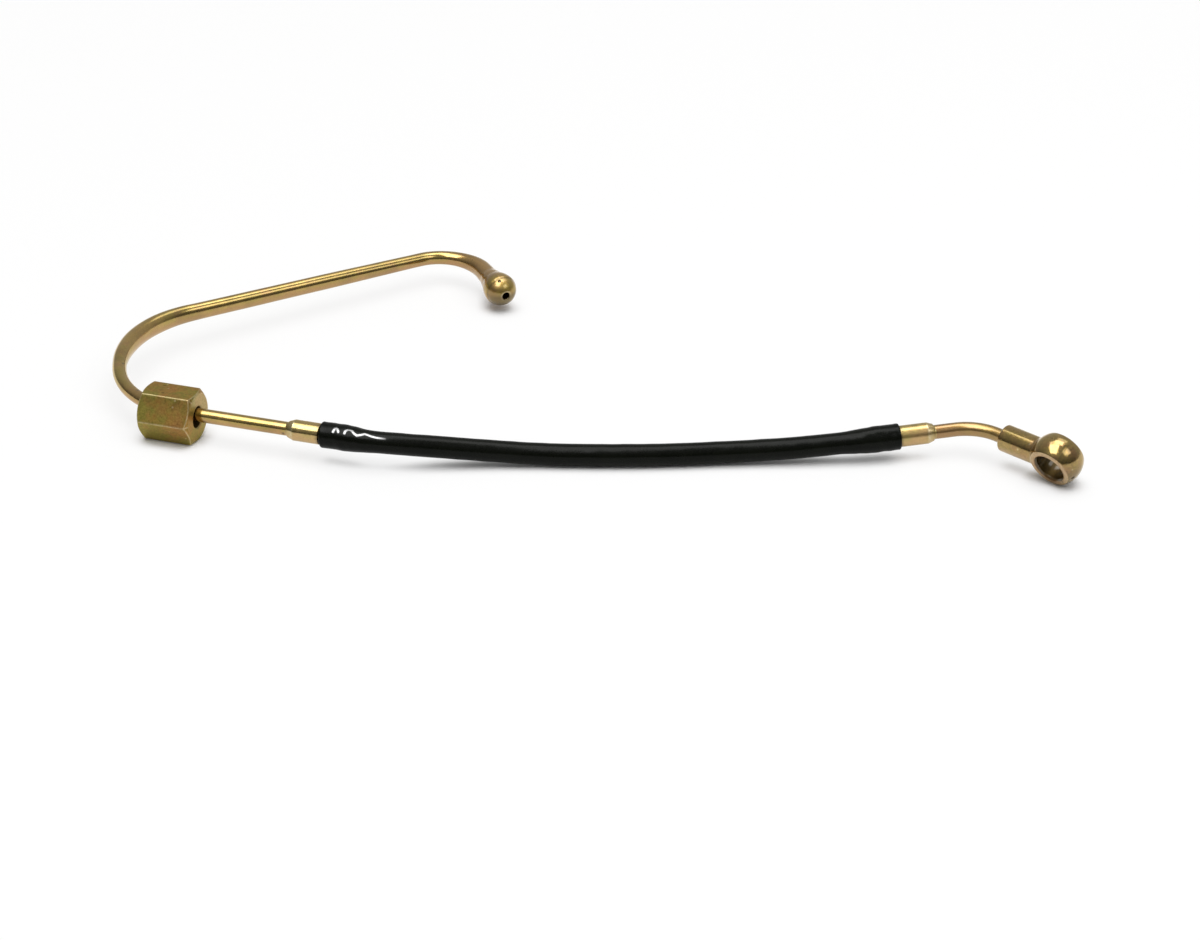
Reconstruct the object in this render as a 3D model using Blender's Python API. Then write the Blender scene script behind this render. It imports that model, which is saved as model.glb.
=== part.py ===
"""Fuel injection hose: a bent steel tube with a ball end and a loose union nut,
a rubber hose pushed on two barbed nipples, and a short tube brazed into a banjo fitting.

Units are metres, +Z is up. The origin is on the surface that the line lies on,
under the middle of the union nut, and +X runs along the nut's axis to the hose.
"""
import bisect
import math

import bmesh
import bpy
from mathutils import Matrix, Vector

# Gap kept between pieces that touch on the real line
GAP = 0.0003

# Steel tube, the same on both sides of the hose
TUBE_RADIUS = 0.002375
TUBE_BORE_RADIUS = 0.0015
TUBE_END_CHAMFER = 0.0003
BRAZE_SOCKET_DEPTH = 0.006

# Union nut: it lies on one of its flats, and the tube passes through it a little high
NUT_ACROSS_FLATS = 0.017
NUT_LENGTH = 0.0188
NUT_FACE_RADIUS = 0.0080
NUT_CHAMFER_DEGREES = 30.0
NUT_HOLE_RADIUS = 0.0037
NUT_HOLE_CHAMFER = 0.0004
NUT_THREAD_RADIUS = 0.0062
NUT_THREAD_CHAMFER = 0.0008
NUT_THREAD_DEPTH = 0.0114
TUBE_LIFT_IN_NUT = 0.0009

# Tube bends from the hose to the ball, as a bender's table
NUT_MIDDLE_TO_BEND = 0.0031
LOWER_STRAIGHT = 0.0397
NUT_BEND_RADIUS = 0.0358
NUT_BEND_DEGREES = 61.0
NUT_BEND_TWIST = -4.4
BACK_BEND_RADIUS = 0.04365
BACK_BEND_DEGREES = 68.3
BACK_BEND_TWIST = 5.05
UPPER_STRAIGHT = 0.0939
BALL_BEND_RADIUS = 0.01638
BALL_BEND_DEGREES = 97.8
BALL_BEND_TWIST = -1.1
BALL_STRAIGHT = 0.0155
BEND_RING_STEP = 6.0

# The bender left the tube oval through the big bend and fading along the upper
# straight: distance past the start of the bend, height and width of the section
OVAL_STATIONS = [
    (0.0300, 0.00475, 0.00475),
    (0.0420, 0.00560, 0.00500),
    (0.0500, 0.00690, 0.00560),
    (0.0600, 0.00720, 0.00610),
    (0.0740, 0.00715, 0.00580),
    (0.0860, 0.00660, 0.00540),
    (0.0940, 0.00620, 0.00520),
    (0.1200, 0.00595, 0.00510),
    (0.1470, 0.00570, 0.00495),
    (0.1750, 0.00510, 0.00485),
    (0.1920, 0.00475, 0.00475),
]

# Formed ball end: distance behind the ball's middle and radius of the flared neck,
# of the belt that the nut presses on, and of the crease in front of it
BALL_RADIUS = 0.0057
BALL_NOSE_RADIUS = 0.0020
BALL_NOSE_BORE_RADIUS = 0.0013
BALL_NOSE_CHAMFER = 0.0003
BALL_NOSE_LENGTH = 0.0105
BALL_ARC_STEPS = 8
BALL_CREASE = (-0.00125, 0.00549)
NECK_STATIONS = [
    (0.0420, 0.00243),
    (0.0340, 0.00250),
    (0.0300, 0.00260),
    (0.0262, 0.00280),
    (0.0217, 0.00310),
    (0.0177, 0.00332),
    (0.0142, 0.00344),
    (0.0107, 0.00362),
    (0.0080, 0.00422),
    (0.0056, 0.00472),
    (0.0041, 0.00522),
    (0.0026, 0.00562),
    (0.0012, 0.00583),
    (0.0000, 0.00588),
    (-0.0009, 0.00577),
]
DIMPLE_RADIUS = 0.0006
DIMPLE_DEPTH = 0.0009
DIMPLE_TILT_DEGREES = 65.0
DIMPLE_TURN_DEGREES = 19.0

# Hose nipple: a brazed collar with a cone to the tube, and a barbed stem in the hose
COLLAR_RADIUS = 0.0036
COLLAR_LENGTH = 0.0091
COLLAR_CHAMFER = 0.0003
CONE_LENGTH = 0.0020
CONE_LIP_RADIUS = 0.0029
STEM_RADIUS = 0.00205
STEM_BORE_RADIUS = 0.0012
STEM_LENGTH = 0.0156
STEM_TIP_CHAMFER = 0.0005
BARB_RADIUS = 0.00265
BARB_COUNT = 3
BARB_PITCH = 0.0044
FIRST_BARB = 0.0036
BARB_BACK_LENGTH = 0.0002
BARB_CONE_LENGTH = 0.0032

# Rubber hose
HOSE_RADIUS = 0.0037
HOSE_BORE_RADIUS = 0.0017
HOSE_STRETCHED_WALL = 0.0015
HOSE_RIM_ROUND = 0.0006
HOSE_DIP_BETWEEN_BARBS = 0.00022
HOSE_SHRINK_LENGTH = 0.0035
HOSE_RING_STEP = 0.0062

# Route of the hose between its two straight ends, measured from its left end
HOSE_ROUTE = [
    (0.0207, 0.0009, -0.00018),
    (0.0267, 0.0028, -0.00067),
    (0.0330, 0.0052, -0.00143),
    (0.0392, 0.0079, -0.00230),
    (0.0452, 0.0105, -0.00316),
    (0.0514, 0.0130, -0.00392),
    (0.0576, 0.0154, -0.00457),
    (0.0639, 0.0175, -0.00510),
    (0.0702, 0.0195, -0.00540),
    (0.0766, 0.0214, -0.00555),
    (0.0892, 0.0253, -0.00560),
    (0.1018, 0.0296, -0.00560),
    (0.1142, 0.0344, -0.00560),
    (0.1266, 0.0395, -0.00545),
    (0.1389, 0.0443, -0.00500),
    (0.1514, 0.0489, -0.00415),
    (0.1639, 0.0536, -0.00285),
]
HOSE_LEFT_STRAIGHT = [0.0, 0.004, 0.008, 0.012, 0.0155]
HOSE_RIGHT_STRAIGHT = [0.013, 0.0095, 0.0055, 0.0]
HOSE_END = (0.1821, 0.0620, -0.0014)
HOSE_END_TURN_DEGREES = 26.2
HOSE_END_RISE_DEGREES = 3.9

# Short tube from the hose to the banjo
BANJO_TUBE_STRAIGHT = 0.0072
BANJO_BEND_RADIUS = 0.01735
BANJO_BEND_DEGREES = 49.5
BANJO_BEND_TWIST = 5.6
BANJO_TUBE_TAIL = 0.0029

# Banjo fitting: a ball with two flat seal faces, cross bored, on a round neck
BANJO_EYE_RADIUS = 0.0088
BANJO_THICKNESS = 0.0098
BANJO_BORE_RADIUS = 0.0051
BANJO_BORE_CHAMFER = 0.0004
BANJO_NECK_RADIUS = 0.00465
BANJO_NECK_LENGTH = 0.0212
BANJO_NECK_CHAMFER = 0.0005
BANJO_NECK_FILLET = 0.0018
BANJO_ROLL_DEGREES = 25.0
BANJO_EYE_STEPS = 14
PIT_RADIUS = 0.0004
PIT_DEPTH = 0.0006

# Number of sides of each kind of round piece
TUBE_SIDES = 20
NIPPLE_SIDES = 24
HOSE_SIDES = 20
TURNED_SIDES = 36
SMALL_SIDES = 12

# Colours and surfaces
ZINC_YELLOW = (0.50, 0.38, 0.16)
ZINC_OLIVE = (0.36, 0.30, 0.14)
RUBBER_BLACK = (0.012, 0.013, 0.012)

X_AXIS = Vector((1.0, 0.0, 0.0))
Z_AXIS = Vector((0.0, 0.0, 1.0))


class Route:
    """A centreline that gives its place and directions at any distance along it."""

    def __init__(self, points, upright):
        self.points = [Vector(p) for p in points]
        self.reach = [0.0]
        chords = []
        for a, b in zip(self.points, self.points[1:]):
            self.reach.append(self.reach[-1] + (b - a).length)
            chords.append((b - a).normalized())
        self.headings = [chords[0]]
        for a, b in zip(chords, chords[1:]):
            self.headings.append((a + b).normalized())
        self.headings.append(chords[-1])
        self.uprights = []
        for heading in self.headings:
            upright = (upright - heading * upright.dot(heading)).normalized()
            self.uprights.append(upright)

    def length(self):
        return self.reach[-1]

    def frame(self, distance):
        """Place, heading, upright and side at a distance, also past either end."""
        last = len(self.points) - 1
        if distance <= 0.0:
            return self.past_end(0, distance)
        if distance >= self.reach[last]:
            return self.past_end(last, distance - self.reach[last])
        after = bisect.bisect_right(self.reach, distance)
        before = after - 1
        share = (distance - self.reach[before]) / (self.reach[after] - self.reach[before])
        place = self.points[before].lerp(self.points[after], share)
        heading = self.headings[before].lerp(self.headings[after], share).normalized()
        upright = self.uprights[before].lerp(self.uprights[after], share)
        upright = (upright - heading * upright.dot(heading)).normalized()
        return place, heading, upright, upright.cross(heading)

    def past_end(self, index, beyond):
        heading = self.headings[index]
        upright = self.uprights[index]
        place = self.points[index] + heading * beyond
        return place, heading, upright, upright.cross(heading)


def straight_route(origin, heading, upright):
    """A route of unit length, for turned pieces."""
    return Route([origin, origin + heading], upright)


def bent_route(start, heading, upright, rows, last_straight):
    """Route and ring places of a bent tube, from rows of straight, radius, degrees and twist."""
    points = [start.copy()]
    stops = [0.0]
    place = start.copy()
    travelled = 0.0
    for straight, radius, degrees, twist in rows:
        place = place + heading * straight
        points.append(place.copy())
        travelled += straight
        stops.append(travelled)
        upright = Matrix.Rotation(math.radians(twist), 3, heading) @ upright
        middle = place + heading.cross(upright) * radius
        arm = place - middle
        steps = max(2, round(degrees))
        for step in range(1, steps + 1):
            turn = Matrix.Rotation(-math.radians(degrees) * step / steps, 3, upright)
            points.append(middle + turn @ arm)
        heading = turn @ heading
        place = points[-1].copy()
        rings = max(2, round(degrees / BEND_RING_STEP))
        arc = radius * math.radians(degrees)
        stops += [travelled + arc * ring / rings for ring in range(1, rings + 1)]
        travelled += arc
    points.append(place + heading * last_straight)
    return Route(points, Vector(upright)), stops


def smooth_route(points, steps, upright):
    """Route along one smooth curve through hand-chosen points."""
    points = [Vector(p) for p in points]
    ends = [points[0] * 2 - points[1]] + points + [points[-1] * 2 - points[-2]]
    curve = [points[0]]
    for a, b, c, d in zip(ends, ends[1:], ends[2:], ends[3:]):
        span = (c - b).length
        leave = (c - a) * (span / ((b - a).length + span))
        arrive = (d - b) * (span / (span + (d - c).length))
        for step in range(1, steps + 1):
            t = step / steps
            curve.append(
                b * (2 * t**3 - 3 * t**2 + 1) + leave * (t**3 - 2 * t**2 + t)
                + c * (3 * t**2 - 2 * t**3) + arrive * (t**3 - t**2)
            )
    return Route(curve, upright)


def between(stations, distance):
    """Values read off a table whose rows start with a distance."""
    if distance <= stations[0][0]:
        return stations[0][1:]
    for low, high in zip(stations, stations[1:]):
        if distance <= high[0]:
            share = (distance - low[0]) / (high[0] - low[0])
            share = share * share * (3 - 2 * share)
            return tuple(a + (b - a) * share for a, b in zip(low[1:], high[1:]))
    return stations[-1][1:]


def with_stops(outline, stops):
    """Outline with a further point wherever a stop lies inside one of its edges."""
    full = []
    for (s0, r0), (s1, r1) in zip(outline, outline[1:] + outline[:1]):
        full.append((s0, r0))
        inside = [s for s in stops if min(s0, s1) + GAP < s < max(s0, s1) - GAP]
        for s in sorted(inside, reverse=s1 < s0):
            full.append((s, r0 + (r1 - r0) * (s - s0) / (s1 - s0)))
    return full


def skin(name, rings, closed):
    """Mesh over a row of rings; a ring of one point is a pole."""
    mesh = bpy.data.meshes.new(name)
    shape = bmesh.new()
    loops = [[shape.verts.new(point) for point in ring] for ring in rings]
    pairs = list(zip(loops, loops[1:]))
    if closed:
        pairs.append((loops[-1], loops[0]))
    for low, high in pairs:
        count = max(len(low), len(high))
        for i in range(count):
            j = (i + 1) % count
            if len(low) == 1:
                shape.faces.new((low[0], high[i], high[j]))
            elif len(high) == 1:
                shape.faces.new((low[i], high[0], low[j]))
            else:
                shape.faces.new((low[i], high[i], high[j], low[j]))
    bmesh.ops.recalc_face_normals(shape, faces=shape.faces[:])
    shape.to_mesh(mesh)
    shape.free()
    mesh.shade_smooth()
    mesh.set_sharp_from_angle(angle=math.radians(35))
    return mesh


def sweep(name, route, outline, sides, closed, section=None):
    """Turn an outline of distances and radii round a route.

    The section gives factors for the height and width at a distance, for an oval tube.
    """
    rings = []
    for distance, radius in outline:
        place, heading, upright, side = route.frame(distance)
        if radius == 0.0:
            rings.append([place])
            continue
        high, wide = section(distance) if section else (1.0, 1.0)
        ring = []
        for k in range(sides):
            angle = 2 * math.pi * k / sides
            rise = math.sin(angle) * radius * high
            reach = math.cos(angle) * radius * wide
            ring.append(place + upright * rise + side * reach)
        rings.append(ring)
    return skin(name, rings, closed)


def material(name, colour, metallic, roughness):
    made = bpy.data.materials.new(name)
    made.use_nodes = True
    shader = made.node_tree.nodes["Principled BSDF"]
    shader.inputs["Base Color"].default_value = (*colour, 1.0)
    shader.inputs["Metallic"].default_value = metallic
    shader.inputs["Roughness"].default_value = roughness
    made.diffuse_color = (*colour, 1.0)
    return made


def add_piece(mesh, origin, surface, parent):
    """Object with its own origin, its mesh shifted so that it stays in place."""
    mesh.transform(Matrix.Translation(-origin))
    mesh.materials.append(surface)
    piece = bpy.data.objects.new(mesh.name, mesh)
    bpy.context.collection.objects.link(piece)
    piece.parent = parent
    piece.location = origin
    return piece


def shape_with(piece, mesh, operation):
    """Cut a piece by a guide mesh, or keep only what the guide holds."""
    guide = bpy.data.objects.new(mesh.name, mesh)
    bpy.context.collection.objects.link(guide)
    mesh.transform(Matrix.Translation(-piece.location))
    guide.parent = piece
    guide.hide_render = True
    guide.display_type = "WIRE"
    boolean = piece.modifiers.new(mesh.name, "BOOLEAN")
    boolean.operation = operation
    boolean.object = guide
    return guide


def nipple_length():
    return CONE_LENGTH + COLLAR_LENGTH


def barb_places():
    return [FIRST_BARB + BARB_PITCH * k for k in range(BARB_COUNT)]


def left_nipple_place():
    """Middle of the left nipple's face on the tube side."""
    height = NUT_ACROSS_FLATS / 2 + TUBE_LIFT_IN_NUT
    return Vector((LOWER_STRAIGHT + NUT_MIDDLE_TO_BEND, 0.0, height))


def hose_start():
    return left_nipple_place() + X_AXIS * (nipple_length() + GAP)


def hose_end_frame():
    """Place, heading and upright of the hose's right end."""
    turn = math.radians(HOSE_END_TURN_DEGREES)
    rise = math.radians(HOSE_END_RISE_DEGREES)
    heading = Vector((
        math.cos(turn) * math.cos(rise),
        math.sin(turn) * math.cos(rise),
        math.sin(rise),
    ))
    side = Z_AXIS.cross(heading).normalized()
    return hose_start() + Vector(HOSE_END), heading, heading.cross(side)


def make_union_nut(surface, parent):
    """Hexagon bar, chamfered in a lathe, with a wide bore, a cone seat and a clearance hole."""
    axis = Vector((0.0, 0.0, NUT_ACROSS_FLATS / 2))
    route = straight_route(axis, X_AXIS, Z_AXIS)
    corner = NUT_ACROSS_FLATS / math.sqrt(3)
    half = NUT_LENGTH / 2
    spare = 0.002
    bar = [(-half - spare, 0.0), (-half - spare, corner), (half + spare, corner), (half + spare, 0.0)]
    nut = add_piece(sweep("union_nut", route, bar, 6, False), axis, surface, parent)

    wide = corner + spare
    fall = (wide - NUT_FACE_RADIUS) * math.tan(math.radians(NUT_CHAMFER_DEGREES))
    blank = [(-half, 0.0), (-half, NUT_FACE_RADIUS), (-half + fall, wide)]
    blank += [(half - fall, wide), (half, NUT_FACE_RADIUS), (half, 0.0)]
    shape_with(nut, sweep("nut_blank", route, blank, TURNED_SIDES, False), "INTERSECT")

    seat_wide = -half + NUT_THREAD_DEPTH
    seat_narrow = seat_wide + NUT_THREAD_RADIUS - NUT_HOLE_RADIUS
    bore = [
        (half + spare, 0.0),
        (half + spare, NUT_HOLE_RADIUS + NUT_HOLE_CHAMFER + spare),
        (half - NUT_HOLE_CHAMFER, NUT_HOLE_RADIUS),
        (seat_narrow, NUT_HOLE_RADIUS),
        (seat_wide, NUT_THREAD_RADIUS),
        (-half + NUT_THREAD_CHAMFER, NUT_THREAD_RADIUS),
        (-half - spare, NUT_THREAD_RADIUS + NUT_THREAD_CHAMFER + spare),
        (-half - spare, 0.0),
    ]
    shape_with(nut, sweep("nut_bore", route, bore, TURNED_SIDES, False), "DIFFERENCE")
    return nut


def olive_route():
    """Centreline of the long tube, from its end in the hose nipple to the ball's middle."""
    start = left_nipple_place() + X_AXIS * (BRAZE_SOCKET_DEPTH - GAP)
    rows = [
        (BRAZE_SOCKET_DEPTH - GAP + LOWER_STRAIGHT, NUT_BEND_RADIUS, NUT_BEND_DEGREES, NUT_BEND_TWIST),
        (0.0, BACK_BEND_RADIUS, BACK_BEND_DEGREES, BACK_BEND_TWIST),
        (UPPER_STRAIGHT, BALL_BEND_RADIUS, BALL_BEND_DEGREES, BALL_BEND_TWIST),
    ]
    return bent_route(start, -X_AXIS, Z_AXIS, rows, BALL_STRAIGHT)


def make_olive_tube(surface, parent):
    """Steel tube with its big U-bend, its small bend and the ball formed on its end."""
    route, stops = olive_route()
    bend_start = stops[1]
    middle = route.length()
    stops = stops + [bend_start + row[0] for row in OVAL_STATIONS]
    outline = [(0.0, TUBE_RADIUS - TUBE_END_CHAMFER), (TUBE_END_CHAMFER, TUBE_RADIUS)]
    outline.append((middle - NECK_STATIONS[0][0] - BALL_RADIUS, TUBE_RADIUS))
    outline += [(middle - back, radius) for back, radius in NECK_STATIONS + [BALL_CREASE]]
    widest = math.asin(BALL_CREASE[1] / BALL_RADIUS)
    nose = math.asin(BALL_NOSE_RADIUS / BALL_RADIUS)
    for step in range(1, BALL_ARC_STEPS + 1):
        angle = widest + (nose - widest) * step / BALL_ARC_STEPS
        outline.append((middle + BALL_RADIUS * math.cos(angle), BALL_RADIUS * math.sin(angle)))
    tip = outline[-1][0]
    outline.append((tip, BALL_NOSE_BORE_RADIUS + BALL_NOSE_CHAMFER))
    outline.append((tip - BALL_NOSE_CHAMFER, BALL_NOSE_BORE_RADIUS))
    outline.append((tip - BALL_NOSE_LENGTH, BALL_NOSE_BORE_RADIUS))
    outline += [(tip - BALL_NOSE_LENGTH - BALL_NOSE_CHAMFER, TUBE_BORE_RADIUS), (0.0, TUBE_BORE_RADIUS)]

    def section(distance):
        height, width = between(OVAL_STATIONS, distance - bend_start)
        return height / OVAL_STATIONS[0][1], width / OVAL_STATIONS[0][2]

    mesh = sweep("olive_tube", route, with_stops(outline, stops), TUBE_SIDES, True, section)
    tube = add_piece(mesh, route.frame(0.0)[0], surface, parent)

    ball, heading, upright, side = route.frame(middle)
    turn = Matrix.Rotation(math.radians(DIMPLE_TURN_DEGREES), 3, heading)
    lean = Matrix.Rotation(math.radians(DIMPLE_TILT_DEGREES), 3, side)
    away = turn @ (lean.inverted() @ heading)
    if away.z < 0.0:
        away = turn @ (lean @ heading)
    inner = BALL_RADIUS - DIMPLE_DEPTH
    drill = [(inner, 0.0), (inner + DIMPLE_RADIUS / 2, DIMPLE_RADIUS), (BALL_RADIUS * 1.2, DIMPLE_RADIUS)]
    drill.append((BALL_RADIUS * 1.2, 0.0))
    aim = straight_route(ball, away, side)
    shape_with(tube, sweep("ball_dimple", aim, drill, SMALL_SIDES, False), "DIFFERENCE")
    return tube


def nipple_outline():
    """Half section of a hose nipple, from its face on the tube to its barbed tip and back."""
    socket = TUBE_RADIUS + GAP
    end = nipple_length()
    outline = [(0.0, socket), (0.0, CONE_LIP_RADIUS), (CONE_LENGTH, COLLAR_RADIUS)]
    outline += [(end - COLLAR_CHAMFER, COLLAR_RADIUS), (end, COLLAR_RADIUS - COLLAR_CHAMFER)]
    outline.append((end, STEM_RADIUS))
    for place in barb_places():
        outline.append((end + place - BARB_BACK_LENGTH, STEM_RADIUS))
        outline.append((end + place, BARB_RADIUS))
        outline.append((end + place + BARB_CONE_LENGTH, STEM_RADIUS))
    if end + STEM_LENGTH - STEM_TIP_CHAMFER <= outline[-1][0]:
        outline.pop()
    tip = end + STEM_LENGTH
    outline += [(tip - STEM_TIP_CHAMFER, STEM_RADIUS), (tip, STEM_RADIUS - STEM_TIP_CHAMFER)]
    outline += [(tip, STEM_BORE_RADIUS), (BRAZE_SOCKET_DEPTH, STEM_BORE_RADIUS)]
    outline.append((BRAZE_SOCKET_DEPTH, socket))
    return outline


def make_nipple(name, place, heading, surface, parent):
    route = straight_route(place, heading, Z_AXIS)
    mesh = sweep(name, route, nipple_outline(), NIPPLE_SIDES, True)
    return add_piece(mesh, place, surface, parent)


def hose_inner(depth):
    """Bore radius of the hose at a depth from either end: it rides over the barbs."""
    crest = BARB_RADIUS + GAP
    shrink_start = STEM_LENGTH + GAP
    if depth >= shrink_start + HOSE_SHRINK_LENGTH:
        return HOSE_BORE_RADIUS
    if depth >= shrink_start:
        share = (depth - shrink_start) / HOSE_SHRINK_LENGTH
        share = share * share * (3 - 2 * share)
        return crest + (HOSE_BORE_RADIUS - crest) * share
    wave = 0.5 - 0.5 * math.cos(2 * math.pi * (depth - FIRST_BARB) / BARB_PITCH)
    return crest - HOSE_DIP_BETWEEN_BARBS * wave


def hose_outer(depth):
    """Outer radius of the hose at a depth from either end, with its rounded rim."""
    start = STEM_LENGTH - HOSE_SHRINK_LENGTH
    full = hose_inner(min(depth, start)) + HOSE_STRETCHED_WALL
    if depth > start:
        share = min(1.0, (depth - start) / (2 * HOSE_SHRINK_LENGTH))
        share = share * share * (3 - 2 * share)
        full = full + (HOSE_RADIUS - full) * share
    if depth < HOSE_RIM_ROUND:
        lack = HOSE_RIM_ROUND - depth
        full -= HOSE_RIM_ROUND - math.sqrt(HOSE_RIM_ROUND**2 - lack**2)
    return full


def hose_route():
    """Straight over each nipple's stem, and through the hand-chosen points between."""
    start = hose_start()
    end, heading, upright = hose_end_frame()
    points = [start + X_AXIS * reach for reach in HOSE_LEFT_STRAIGHT]
    points += [start + Vector(point) for point in HOSE_ROUTE]
    points += [end - heading * reach for reach in HOSE_RIGHT_STRAIGHT]
    return smooth_route(points, 6, Z_AXIS)


def make_hose(surface, parent):
    """Rubber hose, hollow from end to end, bulged where the barbed stems fill it."""
    route = hose_route()
    total = route.length()
    bulge = STEM_LENGTH + HOSE_SHRINK_LENGTH
    depths = [0.0, HOSE_RIM_ROUND * 0.3, HOSE_RIM_ROUND]
    steps = round((bulge - HOSE_RIM_ROUND) * 4 / BARB_PITCH)
    depths += [HOSE_RIM_ROUND + (bulge - HOSE_RIM_ROUND) * k / steps for k in range(1, steps + 1)]
    middle = total - 2 * bulge
    rings = round(middle / HOSE_RING_STEP)
    run = [bulge + middle * k / rings for k in range(1, rings)]
    outer = [(depth, hose_outer(depth)) for depth in depths]
    outer += [(distance, HOSE_RADIUS) for distance in run]
    outer += [(total - depth, hose_outer(depth)) for depth in reversed(depths)]
    shrink_end = STEM_LENGTH + GAP + HOSE_SHRINK_LENGTH
    inner_depths = [0.0, FIRST_BARB / 2]
    inner_depths += [FIRST_BARB + BARB_PITCH * k / 2 for k in range(2 * BARB_COUNT)]
    inner_depths = [depth for depth in inner_depths if depth < STEM_LENGTH]
    inner_depths += [STEM_LENGTH + GAP, STEM_LENGTH + GAP + HOSE_SHRINK_LENGTH / 2, shrink_end]
    inner = [(total - depth, hose_inner(depth)) for depth in inner_depths]
    inner += [(d, HOSE_BORE_RADIUS) for d in reversed(run) if shrink_end < d < total - shrink_end]
    inner += [(depth, hose_inner(depth)) for depth in reversed(inner_depths)]
    mesh = sweep("rubber_hose", route, outer + inner, HOSE_SIDES, True)
    return add_piece(mesh, hose_start(), surface, parent)


def banjo_tube_route():
    """Centreline of the short tube, from its end in the hose nipple to its end in the banjo."""
    end, heading, upright = hose_end_frame()
    start = end + heading * (GAP + nipple_length() - BRAZE_SOCKET_DEPTH + GAP)
    first = BRAZE_SOCKET_DEPTH - GAP + BANJO_TUBE_STRAIGHT
    rows = [(first, BANJO_BEND_RADIUS, BANJO_BEND_DEGREES, BANJO_BEND_TWIST)]
    last = BANJO_TUBE_TAIL + BRAZE_SOCKET_DEPTH - GAP
    return bent_route(start, heading, upright, rows, last)


def make_banjo_tube(surface, parent):
    route, stops = banjo_tube_route()
    total = route.length()
    shoulder = TUBE_RADIUS - TUBE_END_CHAMFER
    outline = [
        (0.0, TUBE_BORE_RADIUS),
        (0.0, shoulder),
        (TUBE_END_CHAMFER, TUBE_RADIUS),
        (total - TUBE_END_CHAMFER, TUBE_RADIUS),
        (total, shoulder),
        (total, TUBE_BORE_RADIUS),
    ]
    mesh = sweep("banjo_tube", route, with_stops(outline, stops), TUBE_SIDES, True)
    return add_piece(mesh, route.frame(0.0)[0], surface, parent)


def banjo_frame():
    """Middle of the eye, direction from it to the tube, and direction of its bore."""
    route, stops = banjo_tube_route()
    end, heading, upright, side = route.frame(route.length())
    face = end - heading * (BRAZE_SOCKET_DEPTH - GAP)
    eye = face + heading * BANJO_NECK_LENGTH
    level = heading.cross(Z_AXIS).normalized()
    roll = Matrix.Rotation(math.radians(BANJO_ROLL_DEGREES), 3, heading)
    return eye, -heading, roll @ level


def banjo_outline():
    """Half section of neck and ball, with the tube's socket and the fuel passage."""
    joint = BANJO_NECK_RADIUS + BANJO_NECK_FILLET
    ball = BANJO_EYE_RADIUS + BANJO_NECK_FILLET
    start = math.asin(joint / ball)
    centre = ball * math.cos(start)
    outline = [(-BANJO_EYE_RADIUS, 0.0)]
    for step in range(1, BANJO_EYE_STEPS + 1):
        angle = math.pi - (math.pi - start) * step / BANJO_EYE_STEPS
        outline.append((BANJO_EYE_RADIUS * math.cos(angle), BANJO_EYE_RADIUS * math.sin(angle)))
    for share in (0.33, 0.67, 1.0):
        angle = math.pi + start + (math.pi / 2 - start) * share
        outline.append((
            centre + BANJO_NECK_FILLET * math.cos(angle),
            joint + BANJO_NECK_FILLET * math.sin(angle),
        ))
    end = BANJO_NECK_LENGTH
    bottom = end - BRAZE_SOCKET_DEPTH
    outline += [(end - BANJO_NECK_CHAMFER, BANJO_NECK_RADIUS), (end, BANJO_NECK_RADIUS - BANJO_NECK_CHAMFER)]
    outline += [(end, TUBE_RADIUS + GAP), (bottom, TUBE_RADIUS + GAP), (bottom, TUBE_BORE_RADIUS)]
    outline += [(BANJO_BORE_RADIUS / 2, TUBE_BORE_RADIUS), (BANJO_BORE_RADIUS / 2, 0.0)]
    return outline


def make_banjo(surface, parent):
    """Turned neck and ball, milled to two seal faces and bored through for the banjo bolt."""
    eye, neck, bore = banjo_frame()
    route = straight_route(eye, neck, bore)
    banjo = add_piece(sweep("banjo_fitting", route, banjo_outline(), TURNED_SIDES, False), eye, surface, parent)

    across = straight_route(eye, bore, neck)
    half = BANJO_THICKNESS / 2
    reach = BANJO_NECK_LENGTH * 1.5
    slab = [(-half, 0.0), (-half, reach), (half, reach), (half, 0.0)]
    shape_with(banjo, sweep("banjo_faces", across, slab, 4, False), "INTERSECT")

    spare = 0.002
    mouth = BANJO_BORE_RADIUS + BANJO_BORE_CHAMFER + spare
    drill = [(-half - spare, 0.0), (-half - spare, mouth), (-half + BANJO_BORE_CHAMFER, BANJO_BORE_RADIUS)]
    drill += [(half - BANJO_BORE_CHAMFER, BANJO_BORE_RADIUS), (half + spare, mouth), (half + spare, 0.0)]
    shape_with(banjo, sweep("banjo_bore", across, drill, TURNED_SIDES, False), "DIFFERENCE")

    away = (-neck + bore * 0.35 - bore.cross(neck) * 0.45).normalized()
    pit = [(BANJO_EYE_RADIUS - PIT_DEPTH, 0.0), (BANJO_EYE_RADIUS + PIT_DEPTH, PIT_RADIUS * 1.6)]
    pit.append((BANJO_EYE_RADIUS + PIT_DEPTH, 0.0))
    aim = straight_route(eye, away, neck.cross(away).normalized())
    shape_with(banjo, sweep("banjo_pit", aim, pit, SMALL_SIDES, False), "DIFFERENCE")
    return banjo


def main():
    for item in list(bpy.data.objects):
        bpy.data.objects.remove(item, do_unlink=True)
    line = bpy.data.objects.new("fuel_injection_hose", None)
    bpy.context.collection.objects.link(line)

    tube_zinc = material("tube_zinc", ZINC_YELLOW, 1.0, 0.28)
    fitting_zinc = material("fitting_zinc", ZINC_OLIVE, 1.0, 0.42)
    collar_zinc = material("collar_zinc", ZINC_YELLOW, 1.0, 0.34)
    rubber = material("rubber", RUBBER_BLACK, 0.0, 0.45)

    make_olive_tube(tube_zinc, line)
    make_union_nut(fitting_zinc, line)
    make_nipple("left_hose_nipple", left_nipple_place(), X_AXIS, collar_zinc, line)
    make_hose(rubber, line)
    end, heading, upright = hose_end_frame()
    right_face = end + heading * (GAP + nipple_length())
    make_nipple("right_hose_nipple", right_face, -heading, collar_zinc, line)
    make_banjo_tube(tube_zinc, line)
    make_banjo(fitting_zinc, line)


main()
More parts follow.
